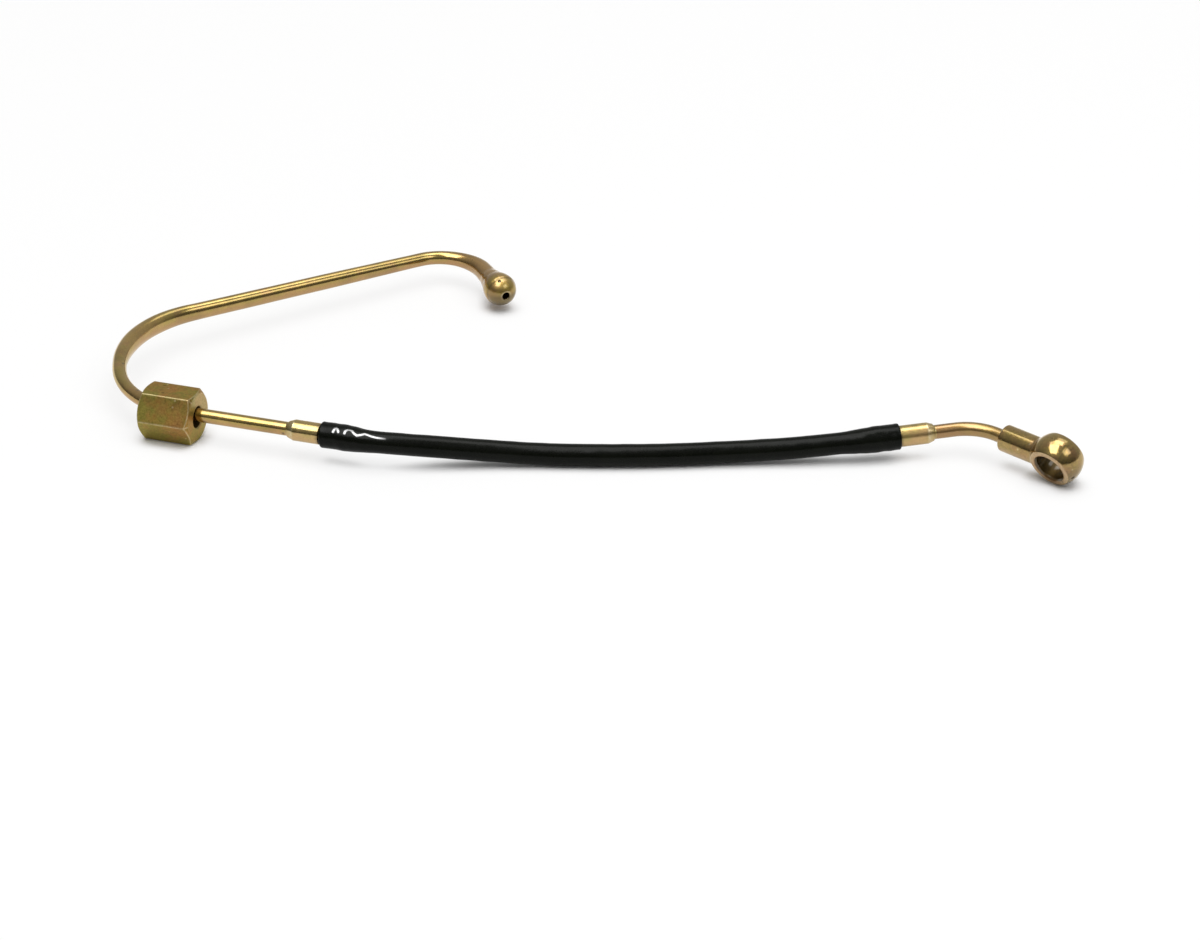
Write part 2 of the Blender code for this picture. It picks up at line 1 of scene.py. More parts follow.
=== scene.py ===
# Looks of the fuel injection hose: fine meshes, yellow zinc and rubber, floor, light and camera.
import math

import bpy
import numpy as np
from mathutils import Matrix, Vector


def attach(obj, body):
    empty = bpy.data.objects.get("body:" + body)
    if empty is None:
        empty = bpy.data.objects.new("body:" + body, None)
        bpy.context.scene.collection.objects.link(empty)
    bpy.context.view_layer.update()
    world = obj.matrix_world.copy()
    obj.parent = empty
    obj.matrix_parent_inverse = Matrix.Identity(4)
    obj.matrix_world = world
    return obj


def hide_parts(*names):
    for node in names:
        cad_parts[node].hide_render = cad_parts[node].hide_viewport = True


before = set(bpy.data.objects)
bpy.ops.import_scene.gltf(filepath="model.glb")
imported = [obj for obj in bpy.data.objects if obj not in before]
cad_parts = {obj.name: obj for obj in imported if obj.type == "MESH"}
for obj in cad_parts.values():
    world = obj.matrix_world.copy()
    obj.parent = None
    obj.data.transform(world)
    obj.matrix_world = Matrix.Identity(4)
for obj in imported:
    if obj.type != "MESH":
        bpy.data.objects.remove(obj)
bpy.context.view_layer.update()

MM = 0.001

# Camera, as the photograph was taken
CAMERA_PLACE = (0.460909, -0.924004, 0.528181)
CAMERA_AZIMUTH = 18.49
CAMERA_PITCH = 27.9
CAMERA_LENS = 102.09
SENSOR_WIDTH = 36.0

# Steel tube and its bends, from the hose to the ball, in millimetres and degrees
TUBE_RADIUS = 2.375
NIPPLE_FACE = Vector((42.8, 0.0, 9.4))
SOCKET_DEPTH = 5.7
LOWER_STRAIGHT = 39.7
BENDS = [
    (SOCKET_DEPTH + LOWER_STRAIGHT, 35.8, 61.0, -4.4),
    (0.0, 43.65, 68.3, 5.05),
    (93.9, 16.38, 97.8, -1.1),
]
BALL_STRAIGHT = 15.5
OVAL_STATIONS = [
    (30.0, 4.75, 4.75),
    (42.0, 5.60, 5.00),
    (50.0, 6.90, 5.60),
    (60.0, 7.20, 6.10),
    (74.0, 7.15, 5.80),
    (86.0, 6.60, 5.40),
    (94.0, 6.20, 5.20),
    (120.0, 5.95, 5.10),
    (147.0, 5.70, 4.95),
    (175.0, 5.10, 4.85),
    (192.0, 4.75, 4.75),
]

TUBE_SIDES = 72
TUBE_END_CHAMFER = 0.3

# Ball end; a neck station is a distance behind the ball's middle and a radius
BALL_RADIUS = 5.7
NOSE_RADIUS = 2.0
NOSE_BORE = 1.3
NOSE_DEPTH = 9.0
CREASE = (-1.25, 5.49)
NECK_STATIONS = [
    (48.0, 2.375),
    (42.0, 2.43),
    (34.0, 2.50),
    (30.0, 2.60),
    (26.2, 2.80),
    (21.7, 3.10),
    (17.7, 3.32),
    (14.2, 3.44),
    (10.7, 3.62),
    (8.0, 4.22),
    (5.6, 4.72),
    (4.1, 5.22),
    (2.6, 5.62),
    (1.2, 5.83),
    (0.0, 5.88),
    (-0.9, 5.77),
]
DIMPLE_TILT = 65.0
DIMPLE_TURN = 19.0
DIMPLE_RADIUS = 0.6
DIMPLE_DEPTH = 0.9
BALL_STEPS = 24
NOSE_RINGS = 8
BALL_LEFT = (-0.66, -0.50, 0.56)

# Union nut
NUT_MIDDLE = Vector((0.0, 0.0, 8.5))
NUT_APOTHEM = 8.5
NUT_HALF = 9.4
NUT_FACE = 8.0
NUT_CHAMFER = 30.0
NUT_HOLE = 3.7
NUT_MINOR = 6.2
NUT_MAJOR = 6.95
NUT_PITCH = 1.5
NUT_THREAD_DEPTH = 11.4
NUT_SIDES = 288

# Hose nipples
COLLAR_RADIUS = 3.6
COLLAR_LENGTH = 9.1
CONE_LENGTH = 2.0
CONE_LIP = 2.9
STEM_RADIUS = 2.05
STEM_BORE = 1.2
STEM_LENGTH = 15.6
BARB_RADIUS = 2.65
BARB_PITCH = 4.4
FIRST_BARB = 3.6
BARB_SLOPE = 3.2
COLLAR_PROUD = 0.22
NIPPLE_SIDES = 80

# Rubber hose, and the points it runs through between its straight ends
HOSE_RADIUS = 3.7
HOSE_BORE = 1.7
HOSE_WALL = 1.5
HOSE_START = Vector((54.2, 0.0, 9.4))
HOSE_END = Vector((236.3, 62.0, 8.0))
HOSE_TURN = 26.2
HOSE_RISE = 3.9
HOSE_ROUTE = [
    (20.7, 0.9, -0.18),
    (26.7, 2.8, -0.67),
    (33.0, 5.2, -1.43),
    (39.2, 7.9, -2.30),
    (45.2, 10.5, -3.16),
    (51.4, 13.0, -3.92),
    (57.6, 15.4, -4.57),
    (63.9, 17.5, -5.10),
    (70.2, 19.5, -5.40),
    (76.6, 21.4, -5.55),
    (89.2, 25.3, -5.60),
    (101.8, 29.6, -5.60),
    (114.2, 34.4, -5.60),
    (126.6, 39.5, -5.45),
    (138.9, 44.3, -5.00),
    (151.4, 48.9, -4.15),
    (163.9, 53.6, -2.85),
]
HOSE_SIDES = 112
HOSE_EDGE = 0.6

# The slanted cut of the hose's left end, and the glossy lines near it as distance and degrees round the hose
SLANT_REACH = 5.0
SLANT_ACROSS = 0.22
SLANT_DOWN = 0.15
WET_LINES = [
    [(5.6, 133.0), (5.8, 120.0), (6.3, 110.0), (7.0, 120.0), (7.4, 130.0)],
    [(9.6, 131.0), (9.7, 119.0), (10.4, 110.0), (11.2, 109.0), (12.0, 114.0), (12.9, 124.0), (14.0, 131.0),
     (15.1, 124.0), (16.0, 116.0), (17.0, 119.0), (18.4, 125.0), (20.2, 129.0), (22.5, 130.5)],
]
WET_STRETCH = 1.2
HOSE_LEFT_STRAIGHT = [0.0, 4.0, 8.0, 12.0, 15.5]
HOSE_RIGHT_STRAIGHT = [13.0, 9.5, 5.5, 0.0]

# Short tube and banjo fitting
BANJO_TUBE_BEND = (5.7 + 7.2, 17.35, 49.5, 5.6)
BANJO_TUBE_TAIL = 2.9 + 5.7
EYE_RADIUS = 8.8
EYE_THICKNESS = 9.8
EYE_BORE = 5.1
EYE_BORE_CHAMFER = 0.7
EYE_EDGE = 0.6
EYE_SIDES = 240
EYE_STEPS = 140
FILLET_STEPS = 8
NECK_RADIUS = 4.65
NECK_LENGTH = 21.2
NECK_FILLET = 1.8
NECK_CHAMFER = 0.5
BANJO_ROLL = 25.0
PASSAGE_RADIUS = 1.5
PIT_DEPTH = 0.6
PIT_RADIUS = 0.9
PIT_PLACE = (-7.91, 3.09, 2.30)

# Turning marks on the banjo's ball: place along the neck, width and strength
SCORES = [
    (-4.75, 0.13, 0.9),
    (-5.25, 0.07, 0.4),
    (-3.6, 0.06, 0.3),
    (-6.0, 0.10, 0.45),
    (-2.2, 0.06, 0.25),
    (-6.7, 0.08, 0.35),
    (1.4, 0.08, 0.2),
    (3.2, 0.12, 0.3),
]

# Hidden room between a stem and the hose, and between hose and collar
GAP = 0.3

SHARP_EDGE = 32.0
X_AXIS = Vector((1.0, 0.0, 0.0))
Z_AXIS = Vector((0.0, 0.0, 1.0))


def smooth_step(low, high, value):
    t = np.clip((value - low) / (high - low), 0.0, 1.0)
    return t * t * (3 - 2 * t)


def unit(value):
    return np.clip(value, 0.0, 1.0)


def near_to(value, place, width):
    """1 at a place, falling to nothing over a width or two."""
    return np.exp(-((value - place) / width) ** 2)


def off_axis(points, axis):
    """Distance of points from a line through the origin."""
    axis = np.array(axis)
    return np.linalg.norm(points - (points @ axis)[:, None] * axis, axis=1)


def unrolled(distance, angle, radius):
    """Points for waves on a tube, as if it were straight."""
    return np.stack(np.broadcast_arrays(distance, np.cos(angle) * radius, np.sin(angle) * radius), axis=-1)


def smooth_min(a, b, width):
    """The smaller of two surfaces, with a rounded edge where they meet."""
    h = np.clip(0.5 + 0.5 * (b - a) / width, 0.0, 1.0)
    return b + (a - b) * h - width * h * (1 - h)


def waves(seed, points, size):
    """Soft seeded bumps from a few plane waves, between about -1 and 1."""
    random = np.random.default_rng(seed)
    total = np.zeros(points.shape[:-1])
    for k in range(7):
        way = random.normal(size=3)
        way *= 2 * math.pi / (size * (0.6 + random.random())) / np.linalg.norm(way)
        total += np.sin(points @ way + random.random() * 2 * math.pi)
    return total / 3.5


class Route:
    """A centreline in millimetres with a smooth frame along it."""

    def __init__(self, points, upright):
        self.points = np.array([tuple(p) for p in points], float)
        steps = np.diff(self.points, axis=0)
        lengths = np.linalg.norm(steps, axis=1)
        self.reach = np.concatenate([[0.0], np.cumsum(lengths)])
        chords = steps / lengths[:, None]
        heads = np.vstack([chords[:1], chords[1:] + chords[:-1], chords[-1:]])
        self.headings = heads / np.linalg.norm(heads, axis=1)[:, None]
        ups = []
        up = np.array(tuple(upright), float)
        for heading in self.headings:
            up = up - heading * (up @ heading)
            up /= np.linalg.norm(up)
            ups.append(up)
        self.uprights = np.array(ups)

    def length(self):
        return float(self.reach[-1])

    def frames(self, distances):
        """Places, headings, uprights and sides at many distances, also past the ends."""
        s = np.asarray(distances, float)
        inside = np.clip(s, 0.0, self.reach[-1])
        place, heading, up = (
            np.stack([np.interp(inside, self.reach, table[:, k]) for k in range(3)], axis=1)
            for table in (self.points, self.headings, self.uprights)
        )
        heading /= np.linalg.norm(heading, axis=1)[:, None]
        up -= heading * (up * heading).sum(1)[:, None]
        up /= np.linalg.norm(up, axis=1)[:, None]
        place += heading * (s - inside)[:, None]
        return place, heading, up, np.cross(up, heading)


def bent_route(start, heading, upright, rows, last_straight):
    """A bent tube's centreline from rows of straight, radius, degrees and twist."""
    points = [start.copy()]
    place = start.copy()
    for straight, radius, degrees, twist in rows:
        if straight:
            place = place + heading * straight
            points.append(place.copy())
        upright = Matrix.Rotation(math.radians(twist), 3, heading) @ upright
        middle = place + heading.cross(upright) * radius
        arm = place - middle
        steps = round(degrees * 2)
        for step in range(1, steps + 1):
            turn = Matrix.Rotation(-math.radians(degrees) * step / steps, 3, upright)
            points.append(middle + turn @ arm)
        heading = turn @ heading
        place = points[-1].copy()
    points.append(place + heading * last_straight)
    return Route(points, Vector(upright))


def smooth_route(points, steps):
    """Route along one smooth curve through given points."""
    ends = [points[0] * 2 - points[1]] + points + [points[-1] * 2 - points[-2]]
    curve = [points[0]]
    for a, b, c, d in zip(ends, ends[1:], ends[2:], ends[3:]):
        span = (c - b).length
        leave = (c - a) * (span / ((b - a).length + span))
        arrive = (d - b) * (span / (span + (d - c).length))
        for step in range(1, steps + 1):
            t = step / steps
            curve.append(
                b * (2 * t**3 - 3 * t**2 + 1) + leave * (t**3 - 2 * t**2 + t)
                + c * (3 * t**2 - 2 * t**3) + arrive * (t**3 - t**2)
            )
    return Route(curve, Z_AXIS)


def straight_route(origin, heading, upright):
    return Route([origin, origin + heading], upright)


def curve_through(stations, at):
    """Values along a smooth curve through rows that start with a distance, without overshoot."""
    table = np.array(sorted(stations), float)
    x = table[:, 0]
    at = np.clip(at, x[0], x[-1])
    found = []
    for column in table.T[1:]:
        slope = np.diff(column) / np.diff(x)
        tangent = np.zeros(len(x))
        same = slope[1:] * slope[:-1] > 0
        both = slope[1:] + slope[:-1]
        tangent[1:-1][same] = 2 * slope[1:][same] * slope[:-1][same] / both[same]
        k = np.clip(np.searchsorted(x, at, side="right") - 1, 0, len(x) - 2)
        width = x[k + 1] - x[k]
        t = (at - x[k]) / width
        found.append(
            column[k] * (2 * t**3 - 3 * t**2 + 1) + tangent[k] * width * (t**3 - 2 * t**2 + t)
            + column[k + 1] * (3 * t**2 - 2 * t**3) + tangent[k + 1] * width * (t**3 - t**2)
        )
    return found


def eased(outline, radius, steps=3):
    """Outline with a small arc at each real corner, so that its edges catch the light."""
    points = [np.array(p, float) for p in outline]
    full = [points[0]]
    for before, corner, after in zip(points, points[1:], points[2:]):
        back = before - corner
        on = after - corner
        room = min(radius, np.linalg.norm(back) * 0.45, np.linalg.norm(on) * 0.45)
        back = back / np.linalg.norm(back)
        on = on / np.linalg.norm(on)
        if back @ on < -0.985 or room < 0.02:
            full.append(corner)
            continue
        for k in range(steps + 1):
            t = k / steps
            full.append(corner + back * room * (1 - t) ** 2 + on * room * t**2)
    full.append(points[-1])
    return [tuple(p) for p in full]


def filled(outline, most):
    """Outline with long edges divided, so that no edge is longer than most."""
    full = [outline[0]]
    for a, b in zip(outline, outline[1:]):
        parts = max(1, math.ceil(math.hypot(b[0] - a[0], b[1] - a[1]) / most))
        for k in range(1, parts + 1):
            full.append((a[0] + (b[0] - a[0]) * k / parts, a[1] + (b[1] - a[1]) * k / parts))
    return full


def skin(name, rings, values=None, sharp=SHARP_EDGE):
    """Closed or open mesh over rings given in millimetres, with named values on its points.

    A ring of one point is a pole.
    """
    points = np.concatenate([ring.reshape(-1, 3) for ring in rings]) * MM
    starts = np.cumsum([0] + [len(ring) for ring in rings])
    faces = []
    for i in range(len(rings) - 1):
        low, high, a, b = len(rings[i]), len(rings[i + 1]), int(starts[i]), int(starts[i + 1])
        for k in range(max(low, high)):
            j = (k + 1) % max(low, high)
            if low == 1:
                faces.append((a, b + j, b + k))
            elif high == 1:
                faces.append((a + k, a + j, b))
            else:
                faces.append((a + k, a + j, b + j, b + k))
    mesh = bpy.data.meshes.new(name)
    mesh.from_pydata(points.tolist(), [], faces)
    for key, table in (values or {}).items():
        layer = mesh.attributes.new(key, "FLOAT", "POINT")
        layer.data.foreach_set("value", np.asarray(table, np.float32).ravel())
    mesh.validate()
    mesh.shade_smooth()
    mesh.set_sharp_from_angle(angle=math.radians(sharp))
    return mesh


def sweep_rings(route, outline, sides, section=None, bumps=None):
    """Rings of an outline of distances and radii turned round a route."""
    distances = np.array([p[0] for p in outline])
    radii = np.array([p[1] for p in outline])
    place, heading, up, side = route.frames(distances)
    angle = np.arange(sides) * 2 * math.pi / sides
    high = np.ones(len(distances))
    wide = np.ones(len(distances))
    if section:
        high, wide = section(distances)
    rise = np.sin(angle)[None, :] * high[:, None]
    reach = np.cos(angle)[None, :] * wide[:, None]
    spoke = up[:, None, :] * rise[..., None] + side[:, None, :] * reach[..., None]
    radius = np.repeat(radii[:, None], sides, axis=1)
    if bumps:
        radius = radius + bumps(distances[:, None], angle[None, :], radius)
    rings = place[:, None, :] + spoke * radius[..., None]
    return [ring if r > 0 else ring[:1] for ring, r in zip(rings, radii)]


def along_rings(rings, outline):
    """Each point's distance along the route."""
    return np.concatenate([np.full(len(ring), spot[0]) for ring, spot in zip(rings, outline)])


def piece(mesh, surface, body, slot, *nodes):
    """The piece that stands for a CAD node and rides on its body."""
    mesh.materials.clear()
    mesh.materials.append(surface)
    made = bpy.data.objects.new(mesh.name, mesh)
    bpy.context.scene.collection.objects.link(made)
    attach(made, body)
    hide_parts(*nodes)
    return made


def carved(mesh, cutters):
    """Mesh with other closed meshes cut out of it."""
    body = bpy.data.objects.new(mesh.name, mesh)
    bpy.context.scene.collection.objects.link(body)
    tools = []
    for cutter in cutters:
        tool = bpy.data.objects.new(cutter.name, cutter)
        bpy.context.scene.collection.objects.link(tool)
        cut = body.modifiers.new(cutter.name, "BOOLEAN")
        cut.object = tool
        tools.append(tool)
    bpy.context.view_layer.update()
    found = bpy.data.meshes.new_from_object(body.evaluated_get(bpy.context.evaluated_depsgraph_get()))
    found.name = mesh.name + "_cut"
    for item in [body] + tools:
        bpy.data.objects.remove(item)
    found.shade_smooth()
    found.set_sharp_from_angle(angle=math.radians(SHARP_EDGE))
    return found


def mesh_points(mesh):
    """The mesh's points in millimetres."""
    co = np.zeros(len(mesh.vertices) * 3)
    mesh.vertices.foreach_get("co", co)
    return co.reshape(-1, 3) / MM


def read(mesh, key):
    """One named value on each of the mesh's points."""
    table = np.zeros(len(mesh.vertices))
    mesh.attributes[key].data.foreach_get("value", table)
    return table


def paint(mesh, values):
    """Named values on the mesh's points."""
    for key, table in values.items():
        layer = mesh.attributes.get(key) or mesh.attributes.new(key, "FLOAT", "POINT")
        layer.data.foreach_set("value", np.asarray(table, np.float32))


def paint_shade_below(mesh, amount, low=-0.95, high=-0.35, where=1.0):
    """Painted shade on what looks down: points whose normals face the floor are darkened."""
    normals = np.zeros(len(mesh.vertices) * 3)
    mesh.vertex_normals.foreach_get("vector", normals)
    down = smooth_step(high, low, normals.reshape(-1, 3)[:, 2])
    paint(mesh, {"grime_and_shade": unit(read(mesh, "grime_and_shade") + down * amount * where)})


# Camera
lens = bpy.data.cameras.new("camera")
lens.lens = CAMERA_LENS
lens.sensor_width = SENSOR_WIDTH
lens.clip_start = 0.05
lens.clip_end = 20.0
camera = bpy.data.objects.new("camera", lens)
camera.location = CAMERA_PLACE
camera.rotation_euler = (math.radians(90.0 - CAMERA_PITCH), 0.0, math.radians(CAMERA_AZIMUTH))
bpy.context.scene.collection.objects.link(camera)
bpy.context.scene.camera = camera


class Graph:
    """Short calls for a material's nodes."""

    def __init__(self, name):
        self.material = bpy.data.materials.new(name)
        self.material.use_nodes = True
        self.tree = self.material.node_tree
        self.shader = self.tree.nodes["Principled BSDF"]
        self.where = self.tree.nodes.new("ShaderNodeTexCoord").outputs["Object"]

    def put(self, value, socket):
        if isinstance(value, bpy.types.NodeSocket):
            self.tree.links.new(value, socket)
        elif isinstance(value, tuple) and len(value) == 3 and socket.type == "RGBA":
            socket.default_value = (*value, 1.0)
        else:
            socket.default_value = value

    def noise(self, scale, detail=3.0, rough=0.55, stretch=None):
        node = self.tree.nodes.new("ShaderNodeTexNoise")
        where = self.where
        if stretch:
            mapping = self.tree.nodes.new("ShaderNodeMapping")
            mapping.inputs["Scale"].default_value = stretch
            self.put(self.where, mapping.inputs["Vector"])
            where = mapping.outputs["Vector"]
        self.put(where, node.inputs["Vector"])
        self.put(scale, node.inputs["Scale"])
        self.put(detail, node.inputs["Detail"])
        self.put(rough, node.inputs["Roughness"])
        return node.outputs["Fac"]

    def cells(self, scale):
        """Distance to a cell's middle and the cell's own grey."""
        node = self.tree.nodes.new("ShaderNodeTexVoronoi")
        self.put(self.where, node.inputs["Vector"])
        self.put(scale, node.inputs["Scale"])
        return node.outputs["Distance"], node.outputs["Color"]

    def attribute(self, name):
        node = self.tree.nodes.new("ShaderNodeAttribute")
        node.attribute_name = name
        return node.outputs["Fac"]

    def ramp(self, value, low, high, out_low=0.0, out_high=1.0):
        node = self.tree.nodes.new("ShaderNodeMapRange")
        for socket, given in zip(node.inputs, (value, low, high, out_low, out_high)):
            self.put(given, socket)
        return node.outputs["Result"]

    def math(self, operation, a, b=0.0):
        node = self.tree.nodes.new("ShaderNodeMath")
        node.operation = operation
        self.put(a, node.inputs[0])
        self.put(b, node.inputs[1])
        return node.outputs["Value"]

    def mix(self, share, a, b, blend="MIX"):
        node = self.tree.nodes.new("ShaderNodeMix")
        node.data_type = "RGBA"
        node.blend_type = blend
        self.put(share, node.inputs["Factor"])
        self.put(a, node.inputs["A"])
        self.put(b, node.inputs["B"])
        for socket in node.outputs:
            if socket.type == "RGBA":
                return socket

    def bump(self, height, depth, strength=1.0):
        node = self.tree.nodes.new("ShaderNodeBump")
        node.inputs["Distance"].default_value = depth
        node.inputs["Strength"].default_value = strength
        self.put(height, node.inputs["Height"])
        return node.outputs["Normal"]

    def set(self, name, value):
        self.put(value, self.shader.inputs[name])


# The pale worn zinc colour paints real wear and also a painted highlight on the nut's end face.
WORN_ZINC_AND_SHEEN = (0.66, 0.56, 0.34)
SPECK = (0.62, 0.50, 0.27)
BLOT = (0.07, 0.05, 0.02)
# The dark grime colour paints real grime and also painted shade in bores, hollows, the crease and on
# undersides.
GRIME_AND_SHADE = (0.045, 0.03, 0.01)
SCORED = (0.10, 0.07, 0.03)
ZINC_EDGE = (0.92, 0.78, 0.50)


def zinc(name, gold, olive, pink, rough, mottle, speckle, grain, dirt, depth, metal, coat):
    """Yellow chromated zinc: drifting gold, olive and pink, with specks, grime, painted shade and a fine
    grain.

    The mesh may name how pink, olive, worn (with painted sheen), grimy (with painted shade), matte or scored
    each point is.
    """
    g = Graph(name)
    g.set("Metallic", metal)
    g.set("Coat Weight", coat)
    g.set("Coat IOR", 1.5)
    g.set("Specular Tint", ZINC_EDGE)
    g.set("Coat Roughness", 0.10)
    drift = g.math("ADD", g.ramp(g.noise(mottle, 4.0, 0.6), 0.40, 0.60), g.attribute("olive"))
    drift = g.ramp(drift, 0.0, 1.0)
    blush = g.ramp(g.noise(mottle * 0.7 + 31.0, 3.0, 0.55, (1.0, 1.3, 0.8)), 0.48, 0.66)
    colour = g.mix(drift, gold, olive)
    colour = g.mix(g.math("MULTIPLY", blush, 0.55), colour, pink)
    colour = g.mix(g.math("MULTIPLY", g.attribute("pink"), 0.9), colour, pink)
    fine = g.ramp(g.noise(mottle * 5.0, 3.0, 0.6), 0.3, 0.7)
    shade = g.ramp(fine, 0.0, 1.0, 1.0 - depth, 1.0)
    colour = g.mix(1.0, colour, g.mix(shade, (0.0, 0.0, 0.0), (1.0, 1.0, 1.0)), "MULTIPLY")
    # Pale worn zinc for real wear, and for the painted highlight on the nut's end face.
    wear_and_sheen = g.math("MULTIPLY", g.attribute("wear_and_sheen"), g.ramp(fine, 0.1, 0.8, 0.45, 1.0))
    colour = g.mix(wear_and_sheen, colour, WORN_ZINC_AND_SHEEN)
    distance, grey = g.cells(760.0)
    pick = g.math("GREATER_THAN", grey, 1.0 - speckle * 0.14)
    dot = g.math("MULTIPLY", g.ramp(distance, 0.34, 0.20), pick)
    colour = g.mix(g.math("MULTIPLY", dot, 0.6), colour, SPECK)
    distance, grey = g.cells(390.0)
    pick = g.math("LESS_THAN", grey, dirt * 0.22)
    blot = g.math("MULTIPLY", g.ramp(distance, 0.30, 0.12), pick)
    colour = g.mix(g.math("MULTIPLY", blot, 0.7), colour, BLOT)
    # Darkens real grime and also painted shade, as the mesh marks them.
    colour = g.mix(g.math("MULTIPLY", g.attribute("grime_and_shade"), 0.85), colour, GRIME_AND_SHADE)
    colour = g.mix(g.math("MULTIPLY", g.attribute("score"), 0.6), colour, SCORED)
    g.set("Base Color", colour)
    dull = g.math("ADD", g.ramp(fine, 0.0, 1.0, rough - 0.03, rough + 0.04), g.math("MULTIPLY", blot, 0.3))
    dull = g.math("ADD", dull, g.math("MULTIPLY", g.attribute("matte"), 0.18))
    g.set("Roughness", dull)
    height = g.math("ADD", g.noise(1500.0, 2.0), g.math("MULTIPLY", dot, 0.3))
    height = g.math("SUBTRACT", height, g.math("MULTIPLY", g.attribute("score"), 1.5))
    g.set("Normal", g.bump(g.math("SUBTRACT", height, blot), grain))
    return g.material


def black_rubber():
    """Fuel hose rubber: near black, a little green, half gloss, shinier where the mesh says."""
    g = Graph("hose_rubber")
    cloud = g.ramp(g.noise(140.0, 4.0, 0.6), 0.35, 0.65)
    colour = g.mix(cloud, (0.0020, 0.0026, 0.0013), (0.0036, 0.0044, 0.0024))
    dust = g.math("MULTIPLY", g.ramp(g.noise(520.0, 5.0, 0.7), 0.62, 0.80), 0.10)
    colour = g.mix(dust, colour, (0.055, 0.057, 0.045))
    g.set("Base Color", colour)
    g.set("Roughness", g.ramp(g.noise(900.0, 3.0, 0.6), 0.3, 0.7, 0.20, 0.28))
    g.set("Specular IOR Level", 0.10)
    g.set("Coat Weight", g.attribute("gloss"))
    g.set("Coat Roughness", 0.10)
    g.set("Coat IOR", 3.0)
    height = g.math("ADD", g.noise(1900.0, 3.0), g.math("MULTIPLY", g.noise(260.0, 2.0), 1.5))
    g.set("Normal", g.bump(height, 0.00002))
    return g.material


TUBE_GOLD = zinc(
    "tube_gold", gold=(0.50, 0.34, 0.085), olive=(0.42, 0.30, 0.065), pink=(0.44, 0.24, 0.09), rough=0.17,
    mottle=260.0, speckle=0.4, grain=0.000002, dirt=0.4, depth=0.14, metal=0.98, coat=1.0)
NUT_OLIVE = zinc(
    "nut_olive", gold=(0.43, 0.245, 0.055), olive=(0.335, 0.28, 0.055), pink=(0.46, 0.22, 0.065), rough=0.40,
    mottle=300.0, speckle=0.9, grain=0.00003, dirt=1.0, depth=0.42, metal=0.75, coat=0.1)
COLLAR_GOLD = zinc(
    "collar_gold", gold=(0.56, 0.40, 0.14), olive=(0.46, 0.35, 0.11), pink=(0.52, 0.31, 0.14), rough=0.18,
    mottle=260.0, speckle=0.5, grain=0.000004, dirt=0.5, depth=0.14, metal=0.97, coat=0.9)
BANJO_GOLD = zinc(
    "banjo_gold", gold=(0.44, 0.295, 0.085), olive=(0.37, 0.26, 0.06), pink=(0.42, 0.22, 0.085), rough=0.16,
    mottle=300.0, speckle=1.0, grain=0.000012, dirt=0.8, depth=0.35, metal=0.97, coat=1.0)
RUBBER = black_rubber()


def hose_frame():
    """Place, heading and upright of the hose's right end."""
    turn = math.radians(HOSE_TURN)
    rise = math.radians(HOSE_RISE)
    heading = Vector((math.cos(turn) * math.cos(rise), math.sin(turn) * math.cos(rise), math.sin(rise)))
    return HOSE_END, heading, heading.cross(Z_AXIS.cross(heading).normalized())


def hose_line():
    """The hose's middle, straight at both ends."""
    end, heading, upright = hose_frame()
    points = [HOSE_START + X_AXIS * reach for reach in HOSE_LEFT_STRAIGHT]
    points += [HOSE_START + Vector(point) for point in HOSE_ROUTE]
    points += [end - heading * reach for reach in HOSE_RIGHT_STRAIGHT]
    return smooth_route(points, 8)


def hose_bore(depth):
    """Bore radius of the hose: it rides over the barbs near its ends."""
    crest = BARB_RADIUS + GAP
    wave = 0.5 - 0.5 * np.cos(2 * math.pi * (depth - FIRST_BARB) / BARB_PITCH)
    shrink = smooth_step(STEM_LENGTH + GAP, STEM_LENGTH + GAP + 3.5, depth)
    over = crest - 0.05 * wave * (depth < STEM_LENGTH)
    return over + (HOSE_BORE - over) * shrink


def hose_surface(depth):
    """Outer radius of the hose: wide over the barbs, with a rounded end."""
    start = STEM_LENGTH - 3.5
    full = hose_bore(np.minimum(depth, start)) + HOSE_WALL
    full = full + (HOSE_RADIUS - full) * smooth_step(start - 4.0, start + 8.5, depth)
    lack = np.clip(HOSE_EDGE - depth, 0.0, HOSE_EDGE)
    return full - HOSE_EDGE + np.sqrt(HOSE_EDGE**2 - lack**2)


def wet_share(distance, turn):
    """How glossy the points of one ring are: only close to the wet lines."""
    spot = np.stack([np.full(HOSE_SIDES, distance), turn * HOSE_RADIUS * WET_STRETCH], axis=1)
    away = np.full(HOSE_SIDES, 9.0)
    for line in WET_LINES:
        path = np.array([(d, math.radians(a) * HOSE_RADIUS * WET_STRETCH) for d, a in line])
        for a, b in zip(path, path[1:]):
            t = unit(((spot - a) @ (b - a)) / ((b - a) @ (b - a)))
            away = np.minimum(away, np.linalg.norm(spot - a - t[:, None] * (b - a), axis=1))
    return smooth_step(0.47, 0.21, away) * smooth_step(24.0, 19.0, distance)


